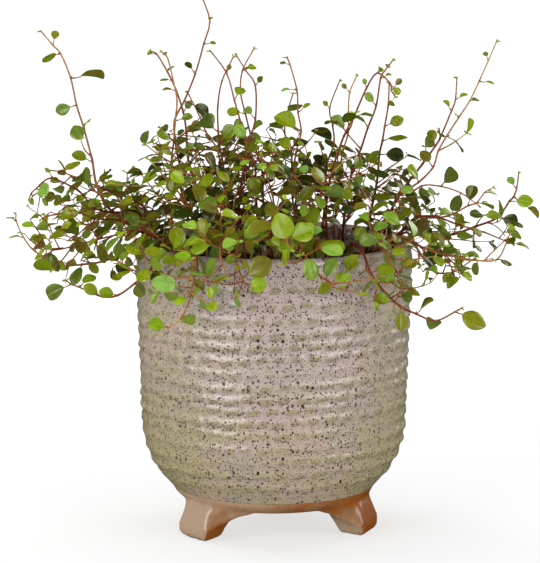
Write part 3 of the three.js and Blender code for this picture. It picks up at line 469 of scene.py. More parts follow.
# Plants a leaf if it has room inside the limits. Balls in rows of three stand in for its blade, and
# small ones for its petiole, which alone may be near its own stem.
def plant_leaf(leaf, plant, limits, slimmer=1):
    across, stations = leaf_line(leaf)
    radius = max(1, leaf.width / 6 + 0.35)
    blade = []
    for station, share, spread in ((1, 0.4, 0.26), (2, 0, 0.36), (2, 0.5, 0.33), (2, 0.95, 0.16)):
        middle = mix(stations[station], stations[station + 1], share)
        blade += [(moved(middle, across, side * spread * leaf.width), radius) for side in (-1, 0, 1)]
    count = math.ceil(leaf.petiole / 1.2)
    stalk = [(mix(stations[0], stations[1], (i + 1) / count), 0.8) for i in range(count)]
    fits = all(is_free(point, radius, limits, slimmer) for point, radius in blade) and not any(
        meets_bead(point, radius * slimmer, plant.stem) for point, radius in stalk
    )
    if fits:
        for point, radius in blade + stalk:
            add_bead(point, radius * slimmer, plant.name)
    return fits


# The first of a row of leaves that finds room
def first_fit(leaves, *room):
    return next((leaf for leaf in leaves if plant_leaf(leaf, *room)), None)


# A blade's upper side looks at the light, as far as its direction lets it
def face_for(way, light):
    return unit(moved(light, way, -dot(light, way)))


# A leaf whose middle is seen at a marked place from the front. It turns away from the stem where it
# would run along it.
def marked_leaf(base, along, mark, draw):
    x, z, length, tilt = mark
    spread = math.hypot(base[0] - x, base[2] - z)
    reach = minus((x, base[1] + (draw() - 0.5) * spread, z), base)
    way = unit(reach)
    most = clamp(dot(way, along), -0.5, 0.6)
    lean = unit(moved(way, along, -dot(way, along)))
    way = moved(times(lean, math.sqrt(1 - most * most)), along, most)
    slope = math.radians(tilt)
    face = face_for(way, (0.3 * (draw() - 0.5), -math.sin(slope), math.cos(slope)))
    return Thing(
        base=base, way=way, face=face, length=length, width=length * (0.7 + 0.15 * draw()),
        petiole=max(1.8, distance(reach) - length / 2), bend=0.15 + 0.25 * draw(),
    )


# A leaf grown by rule: leaning out from the stem, facing up and away from the plant's middle
def grown_leaf(base, along, turn, length, petiole, draw):
    lean = turned(sideways_of(along), along, turn + (draw() - 0.5) * 2.2)
    way = unit(moved(moved(times(lean, 0.9), along, 0.35), UP, 0.2))
    light = moved(times(outward_from(base), 0.75), UP, 0.6 + 0.4 * draw())
    light = moved(light, (0.7 * (draw() - 0.5), 0.7 * (draw() - 0.5), 0))
    return Thing(
        base=base, way=way, face=face_for(way, light), length=length, width=length * (0.72 + 0.2 * draw()),
        petiole=petiole * (0.8 + 0.5 * draw()), bend=0.2 + 0.4 * draw(),
    )


def outward_from(point, middle=MIDDLE_DEPTH):
    return unit((point[0], point[1] - middle, 0.0))


# Growth tries a few draws, and keeps the first that finds room. A limb is what grows out of one
# joint: the points of its stalk, which a leaf on the stem itself hasn't, and its leaf.

def tries(kind, plant, index):
    return ((attempt, draws_for(kind, plant.number, index, attempt)) for attempt in range(TRIES[kind]))


# The joints of a plant that a limb may still grow out of: their indices, places and stem directions
def bare_joints(plant):
    for index in range(1, len(plant.joints) - 1):
        if index not in plant.limbs:
            yield index, plant.joints[index], direction_at(plant.joints, index)


def add_limb(plant, index, leaf, stalk=()):
    if leaf:
        plant.limbs[index] = (list(stalk), leaf)


def try_leaf(plant, index, base, along, turn, length, petiole):
    def leaves():
        for attempt, draw in tries("leaf", plant, index):
            size = length * (1 if attempt < 5 else 0.75) * (0.85 + 0.3 * draw())
            yield grown_leaf(base, along, turn + (math.pi if attempt > 2 else 0), size, petiole, draw)

    return first_fit(leaves(), plant, MOUND)


# Whether balls along a twig have free room
def clears(points, shares, *room):
    return all(is_free(mix(one, two, s), *room) for one, two in zip(points, points[1:]) for s in shares)


# A twig of two spans that turns up as it goes, with a leaf at its end
def try_twig(plant, index, base, along):
    for attempt, draw in tries("twig", plant, index):
        lean = turned(unit(cross(along, UP)), along, plant.number + attempt * 0.8 + draw())
        way = unit(moved(lean, along, 0.5))
        span = TWIG_SPAN * (1 + 0.55 * draw())
        points = [base]
        for _ in range(2):
            swing = (0.35 * (draw() - 0.5), 0.35 * (draw() - 0.5), 0)
            way = unit(moved(moved(way, UP, 0.15), swing))
            points.append(moved(points[-1], way, span))
        if clears(points, (0.25, 0.5, 0.75, 1), 1.5, TWIG_ROOM, 1, plant.stem):
            leaf = try_leaf(plant, index, points[2], way, 0, plant.leaf * 0.9, 0)
            if leaf:
                strew_beads(points, TWIG_BEAD, plant.stem)
                return add_limb(plant, index, leaf, points[1:])


def grow_shoots():
    plants = []
    for number, (name, (root, leaf, via, marks)) in enumerate(SHOOTS.items()):
        joints, marks = stem_joints(root, via, marks, number)
        plants.append(Thing(
            name=name, stem=f"{name} stem", number=number, root=root, leaf=leaf, joints=joints, marks=marks,
            limbs={}, twigs=[], extras=[],
        ))
    bend_clear([plant.joints for plant in plants])
    for plant in plants:
        strew_beads(plant.joints, STEM_BEAD, plant.stem)
    for plant in plants:
        for index, at, along in bare_joints(plant):
            mark = plant.marks[index]
            if mark:
                draws = tries("marked leaf", plant, index)
                leaves = (marked_leaf(at, along, mark, draw) for _, draw in draws)
                add_limb(plant, index, first_fit(leaves, plant, ANYWHERE))
    for plant in plants:
        least = (len(plant.joints) - 1) / 2
        free = [row for row in bare_joints(plant) if row[1][2] > TWIG_BOTTOM and row[0] >= least]
        if free and free[0][1][2] < LEAFY_TOP:
            try_twig(plant, *free[0])
    for plant in plants:
        for index, at, along in bare_joints(plant):
            if at[2] < LEAFY_TOP:
                leaf = try_leaf(plant, index, at, along, index * math.pi, plant.leaf, PETIOLE_LENGTH)
                add_limb(plant, index, leaf)
    return plants


# Smaller growth that the solids leave out: side twigs in the mound, and small leaves up the tall shoots

TOP_LEAF_SHARE, TOP_LEAF_BOTTOM = 0.6, 193
SIDE_SPAN, SIDE_TOP = 5.2, 190
# How much of the full size beads have between side twigs and small leaves
SIDE_CLEARANCE = 0.62
# The most attempts there are for a leaf on a side twig, and how slim it is
SIDE_LEAF_TRIES, SIDE_LEAF_SLIMNESS = 3, 0.83
# How far the view drops for each step to the back
VIEW_SLOPE = 0.158
# How far to the left and right each round of side twigs may start, and whether they are wiry
SIDE_REACH = [
    (-140, 140, False), (-140, 84, False), (-62, 62, False), (-140, 140, True), (-62, 60, False),
    (-140, 140, True), (-100, 62, True),
]


# Where no side twig grows: low down in front, behind and at the sides, high up, and in the gap to
# the right of the middle, just above the front rim, where the inner wall shows behind
def kept_open(point, wiry):
    x, y, z = point
    above = z - (RIM_HEIGHT - VIEW_SLOPE * (y + RIM_RADIUS))
    in_front = y < -45 and z < (134 if abs(x) < 15 else 127) and abs(x) < 72
    low = z < (150 if wiry else 168) and y > 0 if abs(x) < 62 else z < 132
    high = z > 196 or x > 22 and z > 187 or abs(x) > 64 and z > 178 or x > 68 and z > 162
    far_out = 84 < x < 106 and z > 155 or x < -121 or x < -80 and z < 136
    return in_front or low or high or far_out or 14 < x < 46 and -2 < above < 17


# Tries for a leaf on a side twig. Such leaves face up, each with its own lean, so many are seen
# edge-on from the front.
def side_leaves(points, step, end, wiry, draw):
    for turn in range(SIDE_LEAF_TRIES):
        size = (5.4 + 6 * draw()) * (0.85 if end else 1) * (0.55 if wiry else 1)
        heading, petiole = direction_at(points, step), 0.9 if end else 1.5
        leaf = grown_leaf(points[step], heading, (step + turn) * math.pi, size, petiole, draw)
        light = moved(times(outward_from(points[step]), 0.45), UP, 0.75)
        lean = (1.3 * (draw() - 0.5), 1.3 * (draw() - 0.5), 0.4 * (draw() - 0.5))
        leaf.face = face_for(leaf.way, moved(light, lean))
        leaf.width *= SIDE_LEAF_SLIMNESS
        yield leaf


# A side twig of a few spans with a leaf at each joint and one at its end. A wiry one is longer,
# barer and more curved.
def try_side_twig(plant, index, attempt, wiry):
    one, two = plant.joints[index:index + 2]
    draw = draws_for("side twig", plant.number, index, attempt)
    points = [mix(one, two, 0.3 + 0.4 * draw())]
    along = unit(minus(two, one))
    lean = turned(sideways_of(along), along, draw() * 2 * math.pi)
    way = moved(moved(lean, along, 0.35), outward_from(points[0], 0), 0.35)
    way = unit(moved(way, UP, 0.3 * draw()))
    spans = 2 + math.floor(draw() * 2.6) + (2 if wiry else 0)
    arch = (0.5 * (draw() - 0.5), 0.5 * (draw() - 0.5), 0.4 * (draw() - 0.55)) if wiry else (0, 0, 0)
    for _ in range(spans):
        swing = (0.7 * (draw() - 0.5), 0.7 * (draw() - 0.5), 0.5 * (draw() - 0.35))
        way = unit(moved(moved(way, swing), arch))
        points.append(moved(points[-1], way, SIDE_SPAN * (0.75 + 0.6 * draw()) * (1.15 if wiry else 1)))
    shares = (0.4, 0.7, 1)
    shut = any(kept_open(mix(a, b, share), wiry) for a, b in zip(points, points[1:]) for share in shares)
    if shut or not clears(points, shares, 1.0, SIDE_TWIG_ROOM, 0.9, plant.stem):
        return
    leaves = []
    for step in range(1, spans + 1):
        end = step == spans
        if not wiry or end or draw() >= 0.5:
            tried = side_leaves(points, step, end, wiry, draw)
            leaves.append(first_fit(tried, plant, SIDE_ROOM, SIDE_CLEARANCE))
    if any(leaves):
        strew_beads(points, SIDE_BEAD, plant.stem)
        plant.twigs.append((points, [leaf for leaf in leaves if leaf]))


def grow_side_twigs(plants):
    for attempt, (left, right, wiry) in enumerate(SIDE_REACH):
        for plant in plants:
            for index, at in enumerate(plant.joints[:-1]):
                if index > 0 and at[2] <= SIDE_TOP and left < at[0] < right:
                    try_side_twig(plant, index, attempt, wiry)


# Leaves of 3 to 5 mm at the bare joints of the tall shoots
def grow_top_leaves(plants):
    for plant in plants:
        for index, at, along in bare_joints(plant):
            lucky = draws_for("side leaf", plant.number, index, 9)() <= TOP_LEAF_SHARE
            if lucky and at[2] >= TOP_LEAF_BOTTOM:
                leaf = first_fit((
                    grown_leaf(at, along, index * math.pi, 2.8 + 2.4 * draw(), 1.0, draw)
                    for _, draw in tries("side leaf", plant, index)
                ), plant, TOP_ROOM, SIDE_CLEARANCE)
                if leaf:
                    plant.extras.append(leaf)


# Meshes. A shape collects points and faces, with two marks at each point that the finishes read:
# place, for leaves along, across and whether it is the upper side, for glaze the dashes and the painted
# shadow under them, and tone, its own draw, its age, which for leaves holds painted light and shade too,
# and whether it is pale.

LEAF, BARK = 0, 1
BLADE_THICKNESS = 0.24
# Steps along a blade and columns across it, for leaves longer than 6 mm and for smaller ones
FINE_GRID, COARSE_GRID = (11, 8), (9, 6)
# Edges sharper than this stay sharp, in degrees
CREASE = 70
# The box of the solids, less a little
MARGIN = 0.05
BOX_LOW, BOX_HIGH = np.array(CAD_BOX[0]) / MM + MARGIN, np.array(CAD_BOX[1]) / MM - MARGIN


class Shape:
    def __init__(self):
        self.points, self.faces, self.finish, self.place, self.tone = [], [], [], [], []

    # Finish, place and tone come as a list, or once for all
    def add(self, points, faces, finish=0, place=(0, 0, 0), tone=(0, 0, 0)):
        first = len(self.points)
        self.points += points
        self.faces += [tuple(first + corner for corner in face) for face in faces]
        self.finish += finish if isinstance(finish, list) else [finish] * len(faces)
        self.place += place if isinstance(place, list) else [place] * len(points)
        self.tone += tone if isinstance(tone, list) else [tone] * len(points)


def circle(radius, height, count):
    turns = [2 * math.pi * k / count for k in range(count)]
    return [(radius * math.cos(turn), radius * math.sin(turn), height) for turn in turns]


# A closed skin through rings of points, with flat ends or with a point of its own at each end
def closed_skin(rings, ends=()):
    count = len(rings[0])
    last = (len(rings) - 1) * count
    around = [(k, (k + 1) % count) for k in range(count)]
    faces = [(r + a, r + b, r + b + count, r + a + count) for r in range(0, last, count) for a, b in around]
    if ends:
        faces += [(last + count, b, a) for a, b in around]
        faces += [(last + count + 1, last + a, last + b) for a, b in around]
    else:
        faces += [tuple(reversed(range(count))), tuple(range(last, last + count))]
    return [point for ring in rings for point in ring] + list(ends), faces


# A closed tube through points, with its own radius at each, ending in a blunt cap at both ends
def add_tube(shape, points, radii, sides, tones):
    side = sideways_of(unit(minus(points[1], points[0])), 0.9)
    rings = []
    for i, (point, radius) in enumerate(zip(points, radii)):
        along = direction_at(points, i)
        side = unit(moved(side, along, -dot(side, along)))
        other = cross(along, side)
        rings.append([
            moved(moved(point, side, x), other, y) for x, y, _ in circle(radius, 0, sides)
        ])
    start = moved(points[0], unit(minus(points[0], points[1])), radii[0] * 0.6)
    end = moved(points[-1], unit(minus(points[-1], points[-2])), radii[-1] * 0.9)
    tone = [tone for tone in tones for _ in range(sides)] + [tones[0], tones[-1]]
    shape.add(*closed_skin(rings, (start, end)), BARK, tone=tone)


# A tube on a smooth curve through joints, with points close together next to each joint, where a
# stem is swollen
def add_stem(shape, joints, thick, thin, swelling, sides, tone_at):
    line, radii, tones = [], [], []
    for i in range(len(joints) - 1):
        span = distance(joints[i], joints[i + 1])
        edge = min(0.25, 0.8 / span)
        inner = max(1, round(span / 3))
        for stop in [0.0, edge] + [edge + (1 - 2 * edge) * k / inner for k in range(1, inner + 1)]:
            share = (i + stop) / (len(joints) - 1)
            bulge = swelling * math.exp(-(min(stop, 1 - stop) * span / 0.7) ** 2)
            line.append(curve_point(joints, share))
            radii.append((thick + (thin - thick) * share) * (1 + bulge))
            tones.append(tone_at(share))
    add_tube(shape, line + [joints[-1]], radii + [thin], sides, tones + [tone_at(1.0)])


# Moves a blade that would stick out of the solids' box back into it, as a whole
def into_box(points):
    spots = np.array(points)
    step = np.maximum(BOX_LOW - spots.min(axis=0), 0) + np.minimum(BOX_HIGH - spots.max(axis=0), 0)
    return (spots + step).tolist()


# One leaf: a closed thin blade with a folded midrib, cupped, waved and bent, on a slender petiole
def add_leaf(shape, leaf, draw, age):
    length, half, way = leaf.length, leaf.width / 2, leaf.way
    steps, columns = FINE_GRID if length > 6 else COARSE_GRID
    across, stations = leaf_line(leaf)
    powers = (0.6 + 0.32 * draw(), 0.46 + 0.36 * draw())
    base_power, tip_power = (0.8, 0.75) if length < 5 else powers
    peak_at = base_power / (base_power + tip_power)
    peak = peak_at ** base_power * (1 - peak_at) ** tip_power
    fold, cup = 0.16 + 0.5 * draw(), -0.55 + 0.65 * draw()
    wave, phase, twist = 0.03 + 0.05 * draw(), 6.3 * draw(), 0.5 * (draw() - 0.5)
    tone = (draw(), age, 0)
    bend = leaf.bend + 0.3 * draw()
    spine = [(stations[1], leaf.face)]
    shares = [0.5 - 0.5 * math.cos(math.pi * k / steps) for k in range(steps + 1)]
    for before, after in zip(shares, shares[1:]):
        turn = bend * (0.25 + (before + after) / 2)
        heading = turned(way, across, turn)
        centre = moved(spine[-1][0], heading, (after - before) * length)
        spine.append((centre, turned(leaf.face, across, turn)))
    rings, place = [], []
    for share, (centre, face) in list(zip(shares, spine))[1:-1]:
        width = half * share ** base_power * (1 - share) ** tip_power / peak
        tilted = turned(across, heading, twist * share)
        rings.append([])
        # Across the upper side and back across the lower one, which has the rib
        for column in [*range(columns + 1), *range(1 - columns, 0)]:
            v = 2 * abs(column) / columns - 1
            rise = (fold * abs(v) + cup * v * v) * width - 0.1 * math.exp(-(v / 0.2) ** 2)
            rise += wave * width * v * v * math.sin(9 * share + phase + (2 if v > 0 else 0))
            if column < 0:
                rise -= BLADE_THICKNESS / 2 + 0.12 * math.exp(-(v / 0.15) ** 2) * (1 - share)
            elif 0 < column < columns:
                rise += BLADE_THICKNESS / 2
            rings[-1].append(moved(moved(centre, tilted, v * width), face, rise))
            place.append((share, v, 0.0 if column < 0 else 1.0))
    points, faces = closed_skin(rings, (spine[0][0], spine[-1][0]))
    shape.add(into_box(points), faces, LEAF, place + [(0.0, 0.0, 1.0), (1.0, 0.0, 1.0)], tone)
    if leaf.petiole >= 0.5:
        add_petiole(shape, leaf, draw, age)


def add_petiole(shape, leaf, draw, age):
    into = moved(leaf.base, leaf.way, 0.1)
    neck = moved(leaf.base, leaf.way, leaf.petiole + leaf.length * 0.1)
    sag = min(0.9, leaf.petiole * 0.14) * (2 if draw() > 0.3 else -0.8)
    shares = (0, 0.25, 0.5, 0.75, 1)
    points = [moved(mix(into, neck, s), leaf.face, -sag * s * (1 - s) - 0.05) for s in shares]
    slim = 0.24 + 0.012 * leaf.length
    radii = [slim * size for size in (1.25, 1, 0.9, 0.85, 0.5)]
    add_tube(shape, points, radii, 6, [(draw(), 0.45 + (0.5 - 0.4 * age) * s, 0) for s in shares])


# The bud at the end of a shoot, with a pair of tiny leaves still half folded
def add_bud(shape, tip, along, draw):
    length = 1.3 + 0.8 * draw()
    points = [moved(tip, along, length * share) for share in (-0.15, 0.1, 0.4, 0.75, 1)]
    add_tube(shape, points, [0.25, 0.42, 0.46, 0.3, 0.1], 6, [(draw(), 1.0, 0)] * 5)
    for turn in (0, 2.6):
        lean = turned(sideways_of(along), along, turn + draw())
        way = unit(moved(lean, along, 0.9))
        add_leaf(shape, Thing(
            base=tip, way=way, face=face_for(way, unit(moved(along, lean, -0.9))),
            length=1.9 + 1.2 * draw(), width=1.1 + 0.5 * draw(), petiole=0.5, bend=0.3,
        ), draw, 0.03)


# The small bud in the angle of a leaf
def add_node_bud(shape, at, leaf, draw):
    out = unit(moved(leaf.way, leaf.face, 0.8))
    size = 0.5 + 0.25 * draw()
    points = [moved(at, out, size * share) for share in (0.2, 1.0, 1.7, 2.2)]
    add_tube(shape, points, [0.34, 0.4, 0.3, 0.1], 5, [(draw(), 0.5 + 0.4 * draw(), 0)] * 4)


# A leaf's age, from 0 for young to 1 for old: young towards the front and the left and at the tips.
# The front term is a painted light: leaves at the front of the mound come out younger and lighter.
# The inside term is a painted shade: leaves deep inside the mound come out older and darker.
def leaf_age_and_painted_shade(leaf, share, draw):
    x, y, z = leaf.base
    # Painted light: leaves at the front of the mound are made younger, so lighter
    front = clamp((-y - 30) / 50) * clamp(1.5 - abs(x) / 55)
    left = clamp((-x - 45) / 40)
    small = clamp((7 - leaf.length) / 7)
    # Painted shade: leaves deep inside the mound are made older, so darker
    inside = clamp(1.35 - math.hypot(x / 75, (y - 10) / 65)) * clamp((200 - z) / 30)
    age = 0.64 - 0.36 * front - 0.12 * left - 0.2 * small - 0.15 * share + 0.4 * inside
    return clamp(age + 0.62 * (draw() - 0.5))


def shoot_shape(plant):
    shape = Shape()
    number, joints = plant.number, plant.joints
    draw = draws_for("looks", number, 0, 0)
    old, young = 0.04 + 0.45 * draw() ** 1.6, 0.55 + 0.4 * draw()
    thick, thin = 0.62 + 0.28 * draw(), 0.3 + 0.08 * draw()
    foot = (*plant.root, STEM_FOOT)
    add_stem(shape, [foot] + joints, thick, thin, 0.28, 8, lambda s: (0.5, old + (young - old) * s, 0))
    add_bud(shape, joints[-1], direction_at(joints, len(joints) - 1), draw)
    for index, (stalk, leaf) in plant.limbs.items():
        draw = draws_for("looks", number, index, 1)
        if stalk:
            row = [joints[index]] + stalk
            add_stem(shape, row, 0.44, 0.27, 0.25, 6, lambda s: (draw(), young * (0.75 + 0.25 * s), 0))
            add_bud(shape, row[-1], direction_at(row, 2), draw)
        else:
            add_node_bud(shape, joints[index], leaf, draw)
        add_leaf(shape, leaf, draw, leaf_age_and_painted_shade(leaf, index / (len(joints) - 1), draw))
    for order, (row, leaves) in enumerate(plant.twigs):
        draw = draws_for("looks", number, order % 32, 2 + order // 32)
        add_stem(shape, row, 0.38, 0.22, 0.25, 6, lambda s: (draw(), young * (0.8 + 0.2 * s), 0))
        for leaf in leaves:
            add_leaf(shape, leaf, draw, leaf_age_and_painted_shade(leaf, 0.6, draw))
    for order, leaf in enumerate(plant.extras):
        draw = draws_for("looks", number, order, 8)
        add_leaf(shape, leaf, draw, leaf_age_and_painted_shade(leaf, 1, draw))
    return shape


def piece_from(name, shape, finishes, replaced):
    mesh = bpy.data.meshes.new(name)
    mesh.from_pydata((np.clip(np.array(shape.points), BOX_LOW, BOX_HIGH) * MM).tolist(), [], shape.faces)
    for key in ("place", "tone"):
        layer = mesh.attributes.new(key, "FLOAT_VECTOR", "POINT")
        layer.data.foreach_set("vector", np.array(getattr(shape, key), dtype=np.float32).ravel())
    for finish in finishes:
        mesh.materials.append(finish)
    mesh.polygons.foreach_set("material_index", shape.finish)
    mesh.shade_smooth()
    mesh.set_sharp_from_angle(angle=math.radians(CREASE))
    obj = bpy.data.objects.new(name, mesh)
    bpy.context.collection.objects.link(obj)
    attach(obj, "root")
    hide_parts(replaced)


# Finishes

def colour(code):
    parts = [int(code[i:i + 2], 16) / 255 for i in (0, 2, 4)]
    return tuple(p / 12.92 if p <= 0.04045 else ((p + 0.055) / 1.055) ** 2.4 for p in parts) + (1.0,)


# A material under construction: short ways to add and link its nodes. A value is a number, a colour
# code or another node's output.
class Finish:
    def __init__(self, name, **fixed):
        self.material = bpy.data.materials.new(name)
        self.material.use_nodes = True
        self.tree = self.material.node_tree
        self.shader = self.tree.nodes["Principled BSDF"]
        self.done(**fixed)
        self.here = self.node("ShaderNodeTexCoord", out="Object")

    def feed(self, socket, value):
        if isinstance(value, bpy.types.NodeSocket):
            self.tree.links.new(value, socket)
        else:
            socket.default_value = colour(value) if isinstance(value, str) else value

    def node(self, kind, values=(), out=0, **settings):
        node = self.tree.nodes.new(kind)
        for key, value in settings.items():
            setattr(node, key, value)
        for key, value in dict(values).items():
            self.feed(node.inputs[key], value)
        return node.outputs[out]

    def parts(self, vector):
        return self.node("ShaderNodeSeparateXYZ", {0: vector}).node.outputs

    def mark(self, name):
        return self.parts(self.node("ShaderNodeAttribute", attribute_name=name, out="Vector"))

    def math(self, operation, one, two=0.0, three=0.0):
        return self.node("ShaderNodeMath", {0: one, 1: two, 2: three}, operation=operation)

    # One times a factor plus more
    def scaled(self, one, factor, more=0.0):
        return self.math("MULTIPLY_ADD", one, factor, more)

    def smooth(self, value, low, high, start=0.0, end=1.0):
        values = {"Value": value, "From Min": low, "From Max": high, "To Min": start, "To Max": end}
        return self.node("ShaderNodeMapRange", values, interpolation_type="SMOOTHSTEP")

    def noise(self, scale, detail=2.0, rough=0.55, vector=None, out=0):
        values = {"Scale": scale, "Detail": detail, "Roughness": rough, "Vector": vector or self.here}
        return self.node("ShaderNodeTexNoise", values, out=out)

    def vector(self, operation, one, two, three=(0, 0, 0)):
        return self.node("ShaderNodeVectorMath", {0: one, 1: two, 2: three}, operation=operation)

    def blend(self, share, one, two):
        return self.node("ShaderNodeMix", {0: share, 6: one, 7: two}, out=2, data_type="RGBA")

    def ramp(self, share, stops):
        output = self.node("ShaderNodeValToRGB", {0: share})
        elements = output.node.color_ramp.elements
        while len(elements) < len(stops):
            elements.new(0.5)
        for element, (place, shade) in zip(elements, stops.items()):
            element.position, element.color = place, colour(shade)
        return output

    def vary(self, shade, value, hue=0.5, saturation=1.0):
        values = {"Hue": hue, "Saturation": saturation, "Value": value, "Color": shade}
        return self.node("ShaderNodeHueSaturation", values)

    def bump(self, height, depth, strength):
        values = {"Height": height, "Distance": depth, "Strength": strength}
        return self.node("ShaderNodeBump", values)

    def done(self, **values):
        for key, value in values.items():
            self.feed(self.shader.inputs[key.replace("_", " ")], value)
        return self.material


def leaf_finish():
    f = Finish("leaf", Specular_IOR_Level=0.5, Specular_Tint=(0.85, 0.95, 0.5, 1),
               Coat_Weight=0.32, Coat_Roughness=0.24)
    along, across, upper = f.mark("place")
    own, age, _ = f.mark("tone")
    side = f.math("ABSOLUTE", across)
    patch = f.noise(240)
    # Older leaves are darker, to bronze; the age mark also holds painted light at the front of the mound and
    # painted shade inside it
    green = f.ramp(age, {
        0: "879f1c", 0.2: "768f12", 0.4: "718308", 0.6: "5f6905", 0.8: "2c3602", 1: "2a1f02",
    })
    hue, muting = f.scaled(own, 0.072, 0.465), f.smooth(own, 0.6, 1.0, 1.02, 0.88)
    green = f.vary(green, f.smooth(patch, 0.3, 0.7, 0.86, 1.12), hue, muting)
    wave = f.math("FRACT", f.scaled(f.scaled(side, -0.3, along), 6.5))
    vein = f.smooth(f.math("ABSOLUTE", f.scaled(wave, 1, -0.5)), 0.02, 0.14, 1.0, 0.0)
    veins = f.math("MAXIMUM", f.smooth(side, 0.02, 0.11, 1.0, 0.0), f.scaled(vein, 0.32))
    green = f.blend(f.scaled(veins, 0.5), green, f.vary(green, 1.4, 0.49, 0.88))
    green = f.blend(f.scaled(f.smooth(side, 0.9, 1.0), 0.3), green, "7a5a24")
    under = f.blend(0.5, green, "72842a")
    green = f.blend(f.smooth(own, 0.3, 0.0, 0.0, 0.75), green, "4e3f10")
    rough = f.scaled(upper, -0.2, f.smooth(patch, 0.2, 0.8, 0.44, 0.58))
    height = f.bump(f.scaled(veins, -0.8, f.noise(1500)), 0.00012, 0.7)
    return f.done(Base_Color=f.blend(upper, under, green), Roughness=rough, Normal=height)


def bark_finish():
    f = Finish("bark", Specular_IOR_Level=0.42, Specular_Tint=(1, 0.82, 0.65, 1), Roughness=0.43)
    own, age, _ = f.mark("tone")
    streak = f.noise(900, 3)
    level = f.scaled(age, 1, f.smooth(streak, 0.3, 0.7, -0.07, 0.07))
    shade = f.ramp(level, {
        0: "1c0402", 0.25: "3c0f05", 0.5: "6a2b12", 0.72: "925f32", 0.9: "a4824a", 1: "8e982c",
    })
    shade = f.vary(shade, f.smooth(streak, 0.2, 0.8, 0.8, 1.2), f.scaled(own, 0.03, 0.485))
    return f.done(Base_Color=shade, Normal=f.bump(streak, 0.0002, 0.6))


# Speckled satin glaze: mauve between the dashes, olive on them and low on the body, iron spots, and a
# painted shadow under each dash
def glaze_finish():
    f = Finish("glaze", Specular_IOR_Level=0.4, Coat_Roughness=0.34, Coat_IOR=1.6)
    x, _, z = f.parts(f.here)
    _, dash, painted_dash_shadow = f.mark("place")
    streak = f.noise(90, 4, 0.65)
    grain = f.noise(1300, 2, 0.6)
    bands = f.noise(38, 4, 0.6, f.vector("MULTIPLY", f.here, (1, 1, 5)))
    low = f.smooth(z, 0.105, 0.03)
    turned_away = f.smooth(f.math("ABSOLUTE", f.scaled(x, 1, -0.004)), 0.022, 0.062)
    olive = f.scaled(low, 0.6, f.scaled(turned_away, 0.75))
    for pattern, edge, most in ((bands, 0.14, 0.34), (streak, 0.2, 0.15), (grain, 0.2, 0.25)):
        olive = f.scaled(olive, 1, f.smooth(pattern, 0.5 - edge, 0.5 + edge, -most, most))
    mauve = f.blend(f.smooth(f.noise(26, 4, 0.6), 0.42, 0.62), "a99a92", "b49b96")
    ground = f.blend(olive, mauve, f.blend(low, "aba086", "a99d76"))
    plain = f.scaled(f.scaled(turned_away, -0.45, 0.85), f.smooth(z, 0.03, 0.06, 0.5, 1.0))
    dashes = f.scaled(f.smooth(dash, 0.2, 0.6), plain)
    shade = f.blend(dashes, ground, f.blend(low, "8a8260", "9a9063"))
    # Painted shadow: a dark band under each dash, weaker at the sides and at the foot
    shade = f.blend(f.scaled(f.scaled(f.smooth(painted_dash_shadow, 0.3, 0.9), plain), 0.6), shade, "665a44")
    # The grain lightens and darkens the colour; the body is also painted darker from high up down to its
    # foot, a painted shade
    light = f.scaled(f.smooth(grain, 0.25, 0.75, 0.84, 1.12), f.smooth(z, 0.125, 0.05, 1.0, 0.88))
    shade = f.vary(shade, light)
    uneven = f.vector("MULTIPLY_ADD", f.noise(1700, 1, out=1), (0.0004, 0.0004, 0.0004), f.here)
    spots = 0.0
    for scale, size, share in ((820, 0.47, 0.5), (420, 0.36, 0.4), (1500, 0.48, 0.5)):
        cell = f.node("ShaderNodeTexVoronoi", {"Scale": scale, "Vector": uneven}, out="Distance")
        lucky = f.parts(cell.node.outputs["Color"])
        radius = f.scaled(f.smooth(lucky[0], 1 - share, 1.0, 0.3, 1.0), size)
        taken = f.math("GREATER_THAN", lucky[0], 1 - share)
        spot = f.smooth(f.scaled(radius, -1, cell), 0.02, -0.05)
        depth = f.scaled(taken, f.smooth(lucky[1], 0.0, 1.0, 0.72, 1.0))
        spots = f.math("MAXIMUM", spots, f.scaled(spot, depth))
    spots = f.scaled(spots, f.smooth(turned_away, 0.0, 1.0, 1.0, 0.88))
    rough = f.scaled(spots, 0.12, f.smooth(streak, 0.3, 0.7, 0.26, 0.4))
    return f.done(
        Base_Color=f.blend(spots, shade, "2c180a"), Roughness=rough, Coat_Weight=f.scaled(spots, -0.75, 0.9),
        Normal=f.bump(f.scaled(spots, -0.5, grain), 0.00016, 0.5),
    )


# The end of a grainy finish: the grain lightens and darkens the colour, and stands out
def grainy(f, shade, grain, darkest, lightest, depth, strength):
    shade = f.vary(shade, f.smooth(grain, 0.25, 0.75, darkest, lightest))
    return f.done(Base_Color=shade, Normal=f.bump(grain, depth, strength))


# Bare fired clay with a wiped sheen. Faces turned to the left are painted a pale beige, a painted sheen,
# and faces turned to the right a darker orange-brown, a painted shade.
def clay_finish():
    f = Finish("clay", Specular_IOR_Level=0.5, Coat_Weight=0.6, Coat_Roughness=0.18)
    facing, _, _ = f.parts(f.node("ShaderNodeNewGeometry", out="Normal"))
    cloud = f.noise(60, 4, 0.6)
    # Painted light and shade: paler beige on faces turned to -X, darker orange on faces turned to +X,
    # mottled by a cloud
    lit_side_and_mottle = f.scaled(f.smooth(facing, -0.7, 0.7), 1, f.smooth(cloud, 0.3, 0.7, -0.2, 0.2))
    shade = f.ramp(lit_side_and_mottle, {0: "a38b73", 0.3: "9a7656", 0.6: "8c6644", 0.85: "875222", 1: "884a12"})
    f.done(Roughness=f.smooth(cloud, 0.3, 0.7, 0.28, 0.4))
    return grainy(f, shade, f.noise(1400), 0.9, 1.08, 0.0002, 0.4)


